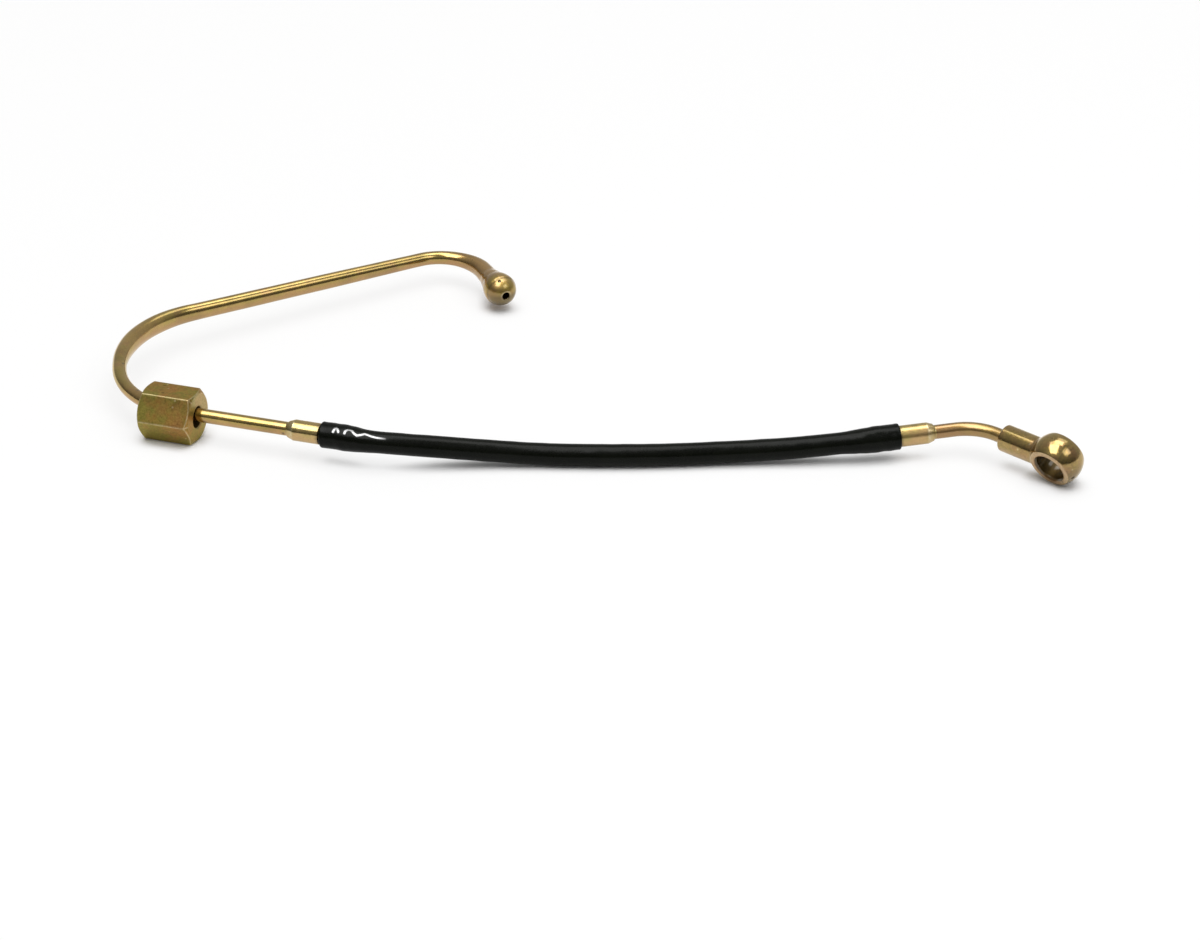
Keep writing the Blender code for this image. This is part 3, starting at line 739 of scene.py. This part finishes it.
def make_hose():
    route = hose_line()
    total = route.length()
    depths = [0.0, 0.04, 0.12, 0.25, 0.42, HOSE_EDGE] + [HOSE_EDGE + 0.25 * k for k in range(1, 92)]
    run = list(np.arange(depths[-1] + 0.8, total - depths[-1] - 0.4, 0.9))
    outer = depths + run + [total - d for d in reversed(depths)]
    nearest = np.minimum(np.array(outer), total - np.array(outer))
    outline = list(zip(outer, hose_surface(nearest)))
    inner = [(total - d, float(hose_bore(np.array(d)))) for d in (0.0, 1.5, 3.0, 6.0)]
    inner.append((total - 6.0, 0.0))

    def bumps(distance, angle, radius):
        near = np.minimum(distance, total - distance)
        bulge = smooth_step(22.0, 14.0, near) * (near > 0.7)
        point = unrolled(distance, angle, HOSE_RADIUS)
        lumps = waves(5, point, 9.0) * 0.035 + waves(6, point, 3.2) * 0.012
        ripple = waves(7, point, 5.0) * 0.05 * bulge
        return (lumps + ripple) * (radius > HOSE_RADIUS * 0.8)

    head = [(6.0, 0.0)] + [(d, float(hose_bore(np.array(d)))) for d in (6.0, 3.0, 1.5, 0.0)]
    outline = head + outline + inner
    rings = sweep_rings(route, outline, HOSE_SIDES, None, bumps)
    turn = np.arange(HOSE_SIDES) * 2 * math.pi / HOSE_SIDES
    slant = SLANT_ACROSS * (1 - np.cos(turn)) + SLANT_DOWN * (1 - np.sin(turn))
    gloss = []
    for (distance, radius), ring in zip(outline, rings):
        if len(ring) == 1:
            gloss.append(np.zeros(1))
            continue
        if distance < SLANT_REACH:
            ring[:, 0] += slant * (1 - distance / SLANT_REACH)
        gloss.append(wet_share(distance, turn) * (radius > HOSE_RADIUS * 0.8))
    gloss = np.concatenate(gloss)
    made = piece(skin("fuel_hose", rings, {"gloss": gloss}), RUBBER, "line", "rubber", "rubber_hose")
    return made


make_hose()


def olive_route():
    """Middle of the long tube, from its socket to the ball."""
    start = NIPPLE_FACE + X_AXIS * SOCKET_DEPTH
    return bent_route(start, -X_AXIS, Z_AXIS, BENDS, BALL_STRAIGHT)


def pink_below(rings, seed, amount):
    """How pink each point is: mostly where the surface looks down and in soft patches."""
    found = []
    for ring in rings:
        middle = ring.mean(axis=0)
        away = ring - middle
        size = np.linalg.norm(away, axis=1) + 1e-9
        down = smooth_step(0.25, -0.35, away[:, 2] / size)
        patch = smooth_step(0.1, 1.0, waves(seed, ring, 26.0))
        found.append(unit(down * amount + patch * 0.5))
    return np.concatenate(found)


def make_olive_tube():
    route = olive_route()
    middle = route.length()
    bend_start = BENDS[0][0]
    run = np.concatenate([np.arange(0.0, middle - 14.0, 0.9), np.arange(middle - 14.0, middle + 0.85, 0.22)])
    behind = middle - run
    radius = curve_through(NECK_STATIONS, behind)[0]
    outline = [(0.0, 0.0), (0.0, TUBE_RADIUS - TUBE_END_CHAMFER)]
    outline += list(zip(np.maximum(run, TUBE_END_CHAMFER), radius))
    outline.append((middle - CREASE[0], CREASE[1]))
    widest = math.asin(CREASE[1] / BALL_RADIUS)
    nose = math.asin(NOSE_RADIUS / BALL_RADIUS)
    for step in range(1, BALL_STEPS + 1):
        angle = widest + (nose - widest) * step / BALL_STEPS
        outline.append((middle + BALL_RADIUS * math.cos(angle), BALL_RADIUS * math.sin(angle)))
    tip = outline[-1][0]
    front = eased([outline[-1], (tip + 0.05, NOSE_RADIUS - 0.12), (tip, NOSE_BORE + 0.28),
                   (tip - 0.3, NOSE_BORE), (tip - NOSE_DEPTH, NOSE_BORE)], 0.12)
    last_front = len(outline) + NOSE_RINGS
    outline += filled(front[1:], 1.2) + [(tip - NOSE_DEPTH, 0.0)]

    def section(distance):
        high, wide = curve_through(OVAL_STATIONS, distance - bend_start)
        return high / (2 * TUBE_RADIUS), wide / (2 * TUBE_RADIUS)

    def bumps(distance, angle, radius):
        point = unrolled(distance, angle, 2.4)
        return waves(11, point, 14.0) * 0.012 * (radius > TUBE_RADIUS * 0.8)

    rings = sweep_rings(route, outline, TUBE_SIDES, section, bumps)
    points = np.concatenate(rings)
    pink = pink_below(rings, 21, 0.75)
    along = along_rings(rings, outline)
    grime_and_shade = smooth_step(0.9, 1.5, waves(31, points, 5.0)) * smooth_step(40.0, 25.0, along) * 0.6
    # Painted shade: a dark line in the crease between neck and ball, and the nose bore painted fully dark.
    crease = near_to(along - middle, 1.2, 0.35)
    inside = np.concatenate([np.full(len(ring), float(k > last_front)) for k, ring in enumerate(rings)])
    heated = smooth_step(middle - 40.0, middle - 18.0, along) * smooth_step(middle - 1.0, middle - 3.0, along)
    pink = unit(pink + heated * 0.75)
    grime_and_shade = unit(grime_and_shade + crease * 0.5 + inside + heated * 0.06)
    olive = smooth_step(-0.2, 0.9, waves(22, points, 18.0)) * 0.8
    stain = smooth_step(0.1, 1.1, waves(23, points, 12.0)) * 0.22
    grime_and_shade = unit(grime_and_shade + stain)
    matte = smooth_step(middle - 30.0, middle - 14.0, along)
    mesh = skin("steel_tube", rings, {"pink": pink, "grime_and_shade": grime_and_shade, "matte": matte, "olive": olive})

    place, heading, up, side = (Vector(v[0]) for v in route.frames([middle]))
    turn = Matrix.Rotation(math.radians(DIMPLE_TURN), 3, heading)
    away = turn @ (Matrix.Rotation(-math.radians(DIMPLE_TILT), 3, side) @ heading)
    if away.z < 0.0:
        away = turn @ (Matrix.Rotation(math.radians(DIMPLE_TILT), 3, side) @ heading)
    inner = BALL_RADIUS - DIMPLE_DEPTH
    drill = [(inner, 0.0), (inner + 0.25, DIMPLE_RADIUS * 0.9), (BALL_RADIUS - 0.12, DIMPLE_RADIUS),
             (BALL_RADIUS + 0.6, DIMPLE_RADIUS + 0.55), (BALL_RADIUS + 0.6, 0.0)]
    aim = straight_route(place, away, side)
    made = carved(mesh, [skin("dimple", sweep_rings(aim, drill, 40))])
    spots = mesh_points(made) - np.array(place)
    size = np.linalg.norm(spots, axis=1)
    # Painted shade: the dimple's hollow is painted fully dark.
    hollow = (off_axis(spots, away) < DIMPLE_RADIUS + 0.02) * (spots @ np.array(away) > 0)
    hollow = hollow * (size < BALL_RADIUS - 0.1) * (size > BALL_RADIUS - 1.2)
    dome = smooth_step(0.0, 2.5, spots @ np.array(heading)) * (size < BALL_RADIUS + 0.5)
    outward = spots / np.maximum(size, 0.1)[:, None]
    # The dome is browner and darker towards BALL_LEFT, which also dims the highlight there.
    left = smooth_step(0.30, 0.95, outward @ np.array(BALL_LEFT)) * dome
    # Painted shade: the dome's lower part is darker, more olive and less pink.
    lower_dome_shade = smooth_step(0.28, -0.15, outward[:, 2]) * dome * (1 - left * 0.6)
    nose_off = off_axis(spots, heading)
    ring = (nose_off < NOSE_RADIUS + 0.05) * (nose_off > NOSE_BORE + 0.1) * (dome > 0.9)
    paint(made, {
        "pink": unit(read(made, "pink") * (1 - lower_dome_shade * 0.8) + left * 0.5),
        "grime_and_shade": unit(np.maximum(read(made, "grime_and_shade"), hollow) + left * 0.20 + lower_dome_shade * 0.80),
        "olive": unit(read(made, "olive") + lower_dome_shade),
        "wear_and_sheen": ring * 0.55,
    })
    # Painted shade on the tube's and the ball's downward-facing sides.
    paint_shade_below(made, 0.35)
    made.name = "steel_tube"
    return piece(made, TUBE_GOLD, "line", "tube_zinc", "olive_tube")


make_olive_tube()


def nut_outside(x, angle):
    """Radius of the chamfered hexagon, and how near a point lies to an edge."""
    turn = np.mod(angle, math.pi / 3) - math.pi / 6
    first = NUT_APOTHEM / np.cos(turn)
    beside = NUT_APOTHEM / np.cos(math.pi / 3 - np.abs(turn))
    cone = NUT_FACE + (NUT_HALF - np.abs(x)) / math.tan(math.radians(NUT_CHAMFER))
    flats = smooth_min(first, beside, 0.22)
    edge = near_to(beside, first, 0.30) + near_to(cone, flats, 0.28)
    return smooth_min(flats, cone, 0.25), unit(edge)


def thread_radius(x, angle):
    """Radius of the female thread, which fades out at both ends."""
    phase = np.mod((x - NUT_PITCH * angle / (2 * math.pi)) / NUT_PITCH, 1.0)
    tooth = unit(np.abs(phase - 0.5) * 2.4 - 0.15)
    start = -NUT_HALF
    end = start + NUT_THREAD_DEPTH
    fade = smooth_step(start + 0.3, start + 1.4, x) * smooth_step(end - 0.4, end - 2.2, x)
    return NUT_MINOR + (NUT_MAJOR - NUT_MINOR) * tooth * fade


def make_nut():
    angle = np.arange(NUT_SIDES) * 2 * math.pi / NUT_SIDES
    ends = np.concatenate([np.array([0.0, 0.02, 0.05, 0.09]), np.arange(0.14, 1.45, 0.06)])
    middle = np.linspace(-NUT_HALF + 1.6, NUT_HALF - 1.6, 26)
    xs = np.concatenate([-NUT_HALF + ends, middle, (NUT_HALF - ends)[::-1]])
    rings, wear_and_sheen, grime_and_shade = [], [], []

    def add(x, radius, worn_and_lit, inner_shade):
        radius = np.broadcast_to(np.asarray(radius, float), (NUT_SIDES,))
        ring = np.stack([np.full(NUT_SIDES, x), np.cos(angle) * radius, np.sin(angle) * radius], axis=1)
        rings.append(ring)
        wear_and_sheen.append(np.broadcast_to(worn_and_lit, (NUT_SIDES,)))
        grime_and_shade.append(np.broadcast_to(inner_shade, (NUT_SIDES,)))

    # Painted shade: the bore is painted fully dark, the thread and its seat partly dark.
    seat = -NUT_HALF + NUT_THREAD_DEPTH
    for x in [*np.linspace(NUT_HALF - 1.5, seat + 2.5, 5)[::-1], NUT_HALF - 0.4]:
        add(x, NUT_HOLE, 0.0, 1.0)
    for radius in np.linspace(NUT_HOLE + 0.1, NUT_HOLE + 0.4, 3):
        add(NUT_HALF - 0.4 + (radius - NUT_HOLE), radius, 0.3, 0.1)
    for radius in np.linspace(NUT_HOLE + 0.5, NUT_FACE - 0.12, 14):
        add(NUT_HALF, radius, 0.0, 0.0)
    for x in xs[::-1]:
        radius, worn_and_lit = nut_outside(x, angle)
        if NUT_HALF - abs(x) < 0.001:
            radius = np.minimum(radius, NUT_FACE - 0.04)
        add(x, radius, worn_and_lit * 0.75, 0.0)
    for radius in np.linspace(NUT_FACE - 0.12, NUT_MINOR + 0.9, 6):
        add(-NUT_HALF, radius, 0.0, 0.0)
    entry = np.linspace(-NUT_HALF + 0.1, -NUT_HALF + 0.8, 6)
    for x in np.concatenate([entry, np.arange(-NUT_HALF + 0.92, seat, 0.12)]):
        mouth = NUT_MINOR + max(0.0, 0.8 - (x + NUT_HALF))
        add(x, np.maximum(thread_radius(x, angle), mouth), 0.15, 0.35)
    for share in np.linspace(0.1, 1.0, 6):
        add(seat + 2.5 * share, NUT_MINOR + (NUT_HOLE - NUT_MINOR) * share, 0.0, 0.5)
    rings.append(rings[0].copy())
    wear_and_sheen.append(wear_and_sheen[0])
    grime_and_shade.append(grime_and_shade[0])
    points = np.concatenate(rings)
    dents = waves(41, points, 6.0)
    shifted = [ring + np.array(NUT_MIDDLE) for ring in rings]
    reach = np.linalg.norm(points[:, 1:], axis=1)
    low = -points[:, 2] / reach
    front = -points[:, 1] / reach
    at_end = smooth_step(NUT_HALF - 0.3, NUT_HALF - 0.1, points[:, 0]) * (reach > NUT_HOLE)
    right = smooth_step(-1.0, 5.0, points[:, 0])
    front_right = right * smooth_step(0.5, 0.9, front)
    pink = smooth_step(0.0, 1.0, waves(42, points, 9.0)) * 0.6 + front_right * 0.35
    pink *= 1 - smooth_step(0.2, 0.6, low) * 0.7
    olive = smooth_step(-3.0, -8.0, points[:, 0]) * 0.8 + smooth_step(0.3, 0.7, low) * 0.8
    olive += smooth_step(-0.3, 0.8, waves(43, points, 8.0)) * 0.7 - front_right * 0.4
    # Painted highlight: the end face is paler towards its upper back part, added to the edge wear.
    painted_sheen = at_end * smooth_step(-0.4, 0.8, (points[:, 1] + points[:, 2]) / NUT_FACE) * 0.45
    dull = (reach < NUT_HOLE + 0.05) * 2.0
    dirt = np.concatenate(grime_and_shade) + smooth_step(0.9, 1.6, dents) * 0.25
    # Painted shade: the top facets, away from the end faces, are darker.
    dirt = dirt + smooth_step(0.5, 0.8, -low) * (1 - at_end) * 0.24
    worn_and_lit = unit(np.concatenate(wear_and_sheen) * 0.8 + painted_sheen)
    values = {"wear_and_sheen": worn_and_lit, "grime_and_shade": unit(dirt), "pink": unit(pink), "olive": olive, "matte": dull}
    mesh = skin("hexagon_nut", shifted, values, 40.0)
    return piece(mesh, NUT_OLIVE, "nut", "fitting_zinc", "union_nut")


make_nut()


def nipple_outline():
    """Half section of a nipple with its braze fillet, barbs and socket."""
    end = CONE_LENGTH + COLLAR_LENGTH
    outline = [(1.5, 0.0)]
    for x, proud in ((1.5, -0.1), (-0.75, -0.1), (-0.72, 0.03), (-0.40, 0.06), (-0.14, 0.16), (0.0, 0.34)):
        outline.append((x, TUBE_RADIUS + proud))
    outline.append((0.05, CONE_LIP))
    face = end + COLLAR_PROUD
    turned = [(0.05, CONE_LIP), (CONE_LENGTH, COLLAR_RADIUS), (face, COLLAR_RADIUS), (face, STEM_RADIUS)]
    outline += filled(eased(turned, 0.10, 4)[1:], 0.5)
    for k in range(3):
        place = end + FIRST_BARB + BARB_PITCH * k
        outline += [(place - 0.2, STEM_RADIUS), (place, BARB_RADIUS), (place + BARB_SLOPE, STEM_RADIUS)]
    tip = end + STEM_LENGTH
    outline += [(tip - 0.4, STEM_RADIUS), (tip, STEM_RADIUS - 0.4), (tip, STEM_BORE)]
    outline += [(tip - 4.0, STEM_BORE), (tip - 4.0, 0.0)]
    return outline


def make_nipple(name, place, heading, node, seed, matte):
    route = straight_route(place, heading, Z_AXIS)
    outline = nipple_outline()
    rings = sweep_rings(route, outline, NIPPLE_SIDES)
    along = along_rings(rings, outline)
    points = np.concatenate(rings)
    end = CONE_LENGTH + COLLAR_LENGTH
    grime_and_shade = near_to(along, end, 0.35) * 0.7 + near_to(along, -0.3, 0.35) * 0.35
    grime_and_shade += smooth_step(0.8, 1.5, waves(seed, points, 4.0)) * 0.3
    wear_and_sheen = near_to(along, CONE_LENGTH, 0.30) * 0.7
    pink = pink_below(rings, seed + 1, 0.45)
    values = {"grime_and_shade": unit(grime_and_shade), "wear_and_sheen": wear_and_sheen, "pink": pink, "matte": np.full(len(points), matte)}
    mesh = skin(name, rings, values)
    # Painted shade on the collar's downward-facing side.
    paint_shade_below(mesh, 0.35)
    return piece(mesh, COLLAR_GOLD, "line", "collar_zinc", node)


make_nipple("left_collar", NIPPLE_FACE, X_AXIS, "left_hose_nipple", 51, 0.0)
end_place, end_heading, end_upright = hose_frame()
RIGHT_FACE = end_place + end_heading * (GAP + CONE_LENGTH + COLLAR_LENGTH)
make_nipple("right_collar", RIGHT_FACE, -end_heading, "right_hose_nipple", 61, 0.7)


def banjo_tube_route():
    """Middle of the short tube, from its socket in the nipple to its socket in the banjo."""
    start = RIGHT_FACE - end_heading * SOCKET_DEPTH
    return bent_route(start, end_heading, end_upright, [BANJO_TUBE_BEND], BANJO_TUBE_TAIL)


def make_banjo_tube():
    route = banjo_tube_route()
    total = route.length()
    run = np.arange(TUBE_END_CHAMFER, total - TUBE_END_CHAMFER, 0.6)
    outline = [(0.0, 0.0), (0.0, TUBE_RADIUS - TUBE_END_CHAMFER)] + [(s, TUBE_RADIUS) for s in run]
    outline += [(total - TUBE_END_CHAMFER, TUBE_RADIUS), (total, TUBE_RADIUS - TUBE_END_CHAMFER), (total, 0.0)]

    def bumps(distance, angle, radius):
        point = unrolled(distance, angle, 2.4)
        return waves(71, point, 9.0) * 0.02 * (radius > TUBE_RADIUS * 0.95)

    rings = sweep_rings(route, outline, TUBE_SIDES, None, bumps)
    points = np.concatenate(rings)
    grime_and_shade = smooth_step(0.9, 1.5, waves(72, points, 4.5)) * 0.5
    brown = unit(pink_below(rings, 73, 0.2) + 0.40)
    values = {"pink": brown, "grime_and_shade": unit(grime_and_shade + 0.28), "matte": np.full(len(points), 0.75)}
    mesh = skin("short_tube", rings, values)
    # Painted shade on the short tube's downward-facing side.
    paint_shade_below(mesh, 0.35)
    return piece(mesh, TUBE_GOLD, "line", "tube_zinc", "banjo_tube")


make_banjo_tube()


def banjo_outline():
    """Half section of ball and neck, from the ball's far side to the neck's end."""
    joint = NECK_RADIUS + NECK_FILLET
    ball = EYE_RADIUS + NECK_FILLET
    start = math.asin(joint / ball)
    centre = ball * math.cos(start)
    outline = [(-EYE_RADIUS, 0.0)]
    for step in range(1, EYE_STEPS + 1):
        angle = math.pi - (math.pi - start) * step / EYE_STEPS
        outline.append((EYE_RADIUS * math.cos(angle), EYE_RADIUS * math.sin(angle)))
    for step in range(1, FILLET_STEPS + 1):
        angle = math.pi + start + (math.pi / 2 - start) * step / FILLET_STEPS
        outline.append((centre + NECK_FILLET * math.cos(angle), joint + NECK_FILLET * math.sin(angle)))
    end = NECK_LENGTH
    turned = [outline[-1], (end - NECK_CHAMFER, NECK_RADIUS), (end, NECK_RADIUS - NECK_CHAMFER),
              (end, TUBE_RADIUS + 0.45), (end + 0.2, TUBE_RADIUS + 0.2), (end + 0.7, TUBE_RADIUS + 0.03)]
    outline += filled(eased(turned, 0.25, 4)[1:], 0.5)
    outline += [(end + 0.7, TUBE_RADIUS - 0.1), (end - 2.0, TUBE_RADIUS - 0.1), (end - 2.0, 0.0)]
    return outline


def make_banjo():
    route = banjo_tube_route()
    place, heading, up, side = (Vector(v[0]) for v in route.frames([route.length()]))
    eye = place - heading * SOCKET_DEPTH + heading * NECK_LENGTH
    level = heading.cross(Z_AXIS).normalized()
    bore = Matrix.Rotation(math.radians(BANJO_ROLL), 3, heading) @ level
    neck = -heading
    outline = banjo_outline()
    turned = straight_route(eye, neck, bore)
    half = EYE_THICKNESS / 2
    rings = []
    for (s, _), ring in zip(outline, sweep_rings(turned, outline, EYE_SIDES)):
        if len(ring) > 1 and s < NECK_LENGTH - 1.0:
            spoke = ring - np.array(eye + neck * s)
            size = np.linalg.norm(spoke, axis=1)
            lean = np.abs(spoke @ np.array(bore)) / size
            flat = half / np.maximum(lean, 0.05)
            ring = np.array(eye + neck * s) + spoke * (smooth_min(size, flat, EYE_EDGE) / size)[:, None]
        rings.append(ring)
    blank = skin("banjo_blank", rings)
    across = straight_route(eye, bore, neck)
    mouth = EYE_BORE + EYE_BORE_CHAMFER
    wall = half - EYE_BORE_CHAMFER
    cone = [(-half - 1.0, mouth + 1.0), (-wall, EYE_BORE), (wall, EYE_BORE), (half + 1.0, mouth + 1.0)]
    drill = [(-half - 1.0, 0.0), (-half - 1.0, mouth + 1.0)]
    drill += filled(eased(cone, 0.25, 4), 0.5)[1:] + [(half + 1.0, 0.0)]
    hole = skin("banjo_hole", sweep_rings(across, drill, 128))
    far = NECK_LENGTH - 6.0
    drill = [(0.5, 0.0), (0.5, PASSAGE_RADIUS), (far, PASSAGE_RADIUS), (far, 0.0)]
    passage = skin("banjo_passage", sweep_rings(turned, drill, 48))
    third = bore.cross(neck)
    away = (neck * PIT_PLACE[0] + bore * PIT_PLACE[1] + third * PIT_PLACE[2]).normalized()
    aim = straight_route(eye, away, neck.cross(away).normalized())
    top = EYE_RADIUS + 0.6
    drill = [(EYE_RADIUS - PIT_DEPTH, 0.0), (EYE_RADIUS - 0.4, 0.5), (top, PIT_RADIUS), (top, 0.0)]
    pit = skin("banjo_pit", sweep_rings(aim, drill, 32))
    mesh = carved(blank, [hole, passage, pit])
    points = mesh_points(mesh) - np.array(eye)
    height = points @ np.array(bore)
    from_axis = off_axis(points, bore)
    seal = smooth_step(half - 0.35, half - 0.1, height)
    # Painted shade: the bore is painted dark inside.
    inside = smooth_step(mouth + 0.05, mouth - 0.1, from_axis)
    rim = near_to(np.abs(height), half - 0.1, 0.16) * (from_axis > EYE_BORE + 1.0)
    along = points @ np.array(neck)
    outside = (from_axis > mouth + 0.3) * (along < 6.5)
    score = np.zeros(len(points))
    for place_s, width, depth in SCORES:
        score += near_to(along, place_s, width) * depth
    score *= outside * smooth_step(-0.6, 0.4, waves(83, points, 7.0) + 0.6)
    pitted = np.linalg.norm(points - np.array(away) * EYE_RADIUS, axis=1) < 0.85
    crust = smooth_step(-4.5, -7.5, along) * smooth_step(1.0, 3.5, points @ np.array(third)) * outside
    stain = smooth_step(0.9, 1.5, waves(82, points, 3.5)) * (1 - inside) * 0.3
    paint(mesh, {
        "score": unit(score),
        "pink": unit(seal * 0.8 + smooth_step(0.0, 1.0, waves(81, points, 8.0)) * 0.7),
        "matte": inside * 1.8 + crust * 0.8,
        "olive": crust,
        "grime_and_shade": unit(inside * 0.9 + stain + pitted),
        "wear_and_sheen": unit(rim * 0.4 + crust * smooth_step(0.1, 0.8, waves(84, points, 2.2)) * 0.5),
    })
    # Painted shade on the lower outside of the banjo, away from the seal faces and the neck's end.
    paint_shade_below(mesh, 0.72, -0.35, 0.35, (1 - seal) * (along < 7.0))
    mesh.name = "banjo_eye"
    return piece(mesh, BANJO_GOLD, "line", "fitting_zinc", "banjo_fitting")


make_banjo()

# Floor: white paper, most of it shown as plain white, except close to what stands on it
FLOOR_SIZE = 8.0
FLOOR_DROP = 0.0002
FLOOR_WHITE = 1.0
FLOOR_SHARE = 0.75
CONTACT_REACH = 0.006
floor_mesh = bpy.data.meshes.new("floor")
corners = [(-1, -1), (1, -1), (1, 1), (-1, 1)]
floor_mesh.from_pydata(
    [(x * FLOOR_SIZE / 2, y * FLOOR_SIZE / 2, -FLOOR_DROP) for x, y in corners], [], [(0, 1, 2, 3)])
floor = bpy.data.objects.new("floor", floor_mesh)
bpy.context.scene.collection.objects.link(floor)
paper = Graph("paper")
paper.set("Base Color", paper.mix(paper.noise(3.0, 2.0), (0.965, 0.965, 0.96), (0.975, 0.975, 0.975)))
paper.set("Roughness", 0.9)
paper.set("Specular IOR Level", 0.0)
seen = paper.tree.nodes.new("ShaderNodeLightPath")
seen_by = paper.math("MAXIMUM", seen.outputs["Is Camera Ray"], seen.outputs["Is Glossy Ray"])
seen_by = paper.math("MAXIMUM", seen_by, seen.outputs["Is Transmission Ray"])
near = paper.tree.nodes.new("ShaderNodeAmbientOcclusion")
near.inputs["Distance"].default_value = CONTACT_REACH
open_share = paper.ramp(near.outputs["AO"], 0.50, 0.96, 0.0, FLOOR_SHARE)
glow = paper.tree.nodes.new("ShaderNodeEmission")
glow.inputs["Color"].default_value = (FLOOR_WHITE, FLOOR_WHITE, FLOOR_WHITE, 1.0)
blend = paper.tree.nodes.new("ShaderNodeMixShader")
paper.put(paper.math("MULTIPLY", seen_by, open_share), blend.inputs[0])
paper.put(paper.shader.outputs["BSDF"], blend.inputs[1])
paper.put(glow.outputs["Emission"], blend.inputs[2])
paper.put(blend.outputs["Shader"], paper.tree.nodes["Material Output"].inputs["Surface"])
floor_mesh.materials.append(paper.material)

# Light: a soft box overhead for the matte surfaces and the shadow, boxes that only reflect in the metal
# and the rubber, and a weaker box on the right that does both. The room is pale behind the object
# and high up, and dim low in front of it.
# A lamp's row is its name, place, size, radiance, whether it is aimed, and what it lights.
AIM = Vector((0.17, 0.07, 0.0))
LAMPS = [
    ("main_box", (-0.50, -1.25, 3.0), (2.0, 2.7), 5.0, False, "glossy"),
    ("bounce_box", (0.35, 0.78, 3.0), (1.7, 1.25), 4.0, False, "glossy"),
    ("left_box", (-1.00, 0.55, 3.0), (1.0, 0.9), 2.4, False, "glossy"),
    ("far_box", (0.80, 1.95, 3.0), (1.8, 1.1), 1.5, False, "glossy"),
    ("top_box", (0.17, -0.25, 3.0), (3.2, 3.2), 3.0, False, "diffuse"),
    ("side_box", (2.15, -0.55, 2.1), (1.5, 1.1), 2.3, True, "both"),
]
for lamp_name, place, size, radiance, aimed, lights in LAMPS:
    lamp_data = bpy.data.lights.new(lamp_name, "AREA")
    lamp_data.shape = "RECTANGLE"
    lamp_data.size, lamp_data.size_y = size
    lamp_data.energy = radiance * math.pi * size[0] * size[1]
    lamp = bpy.data.objects.new(lamp_name, lamp_data)
    lamp.location = place
    if aimed:
        lamp.rotation_euler = (AIM - Vector(place)).to_track_quat("-Z", "Y").to_euler()
    lamp.visible_diffuse = lights != "glossy"
    lamp.visible_glossy = lights != "diffuse"
    lamp.visible_camera = False
    bpy.context.scene.collection.objects.link(lamp)

ROOM_FRONT = 0.10
ROOM_BACK = 0.52
ROOM_HIGH = 0.42
ROOM_PALE = 0.90
world = bpy.data.worlds.new("room")
world.use_nodes = True
bpy.context.scene.world = world
sky = world.node_tree
ray = sky.nodes.new("ShaderNodeTexCoord")
split = sky.nodes.new("ShaderNodeSeparateXYZ")
sky.links.new(ray.outputs["Generated"], split.inputs["Vector"])


def room_ramp(source, low, high, out_low, out_high):
    """Room level between two values of a direction; an output may be another level."""
    node = sky.nodes.new("ShaderNodeMapRange")
    sky.links.new(source, node.inputs["Value"])
    node.inputs["From Min"].default_value = low
    node.inputs["From Max"].default_value = high
    for socket, value in ((node.inputs["To Min"], out_low), (node.inputs["To Max"], out_high)):
        if isinstance(value, bpy.types.NodeSocket):
            sky.links.new(value, socket)
        else:
            socket.default_value = value
    return node.outputs["Result"]


front = room_ramp(split.outputs["Z"], 0.15, 0.70, ROOM_FRONT, ROOM_HIGH)
upper = room_ramp(split.outputs["Y"], 0.0, 0.8, front, ROOM_BACK)
level = room_ramp(split.outputs["Z"], -0.02, 0.02, ROOM_PALE, upper)
sky.links.new(level, sky.nodes["Background"].inputs["Color"])

bpy.context.scene.view_settings.view_transform = "Standard"
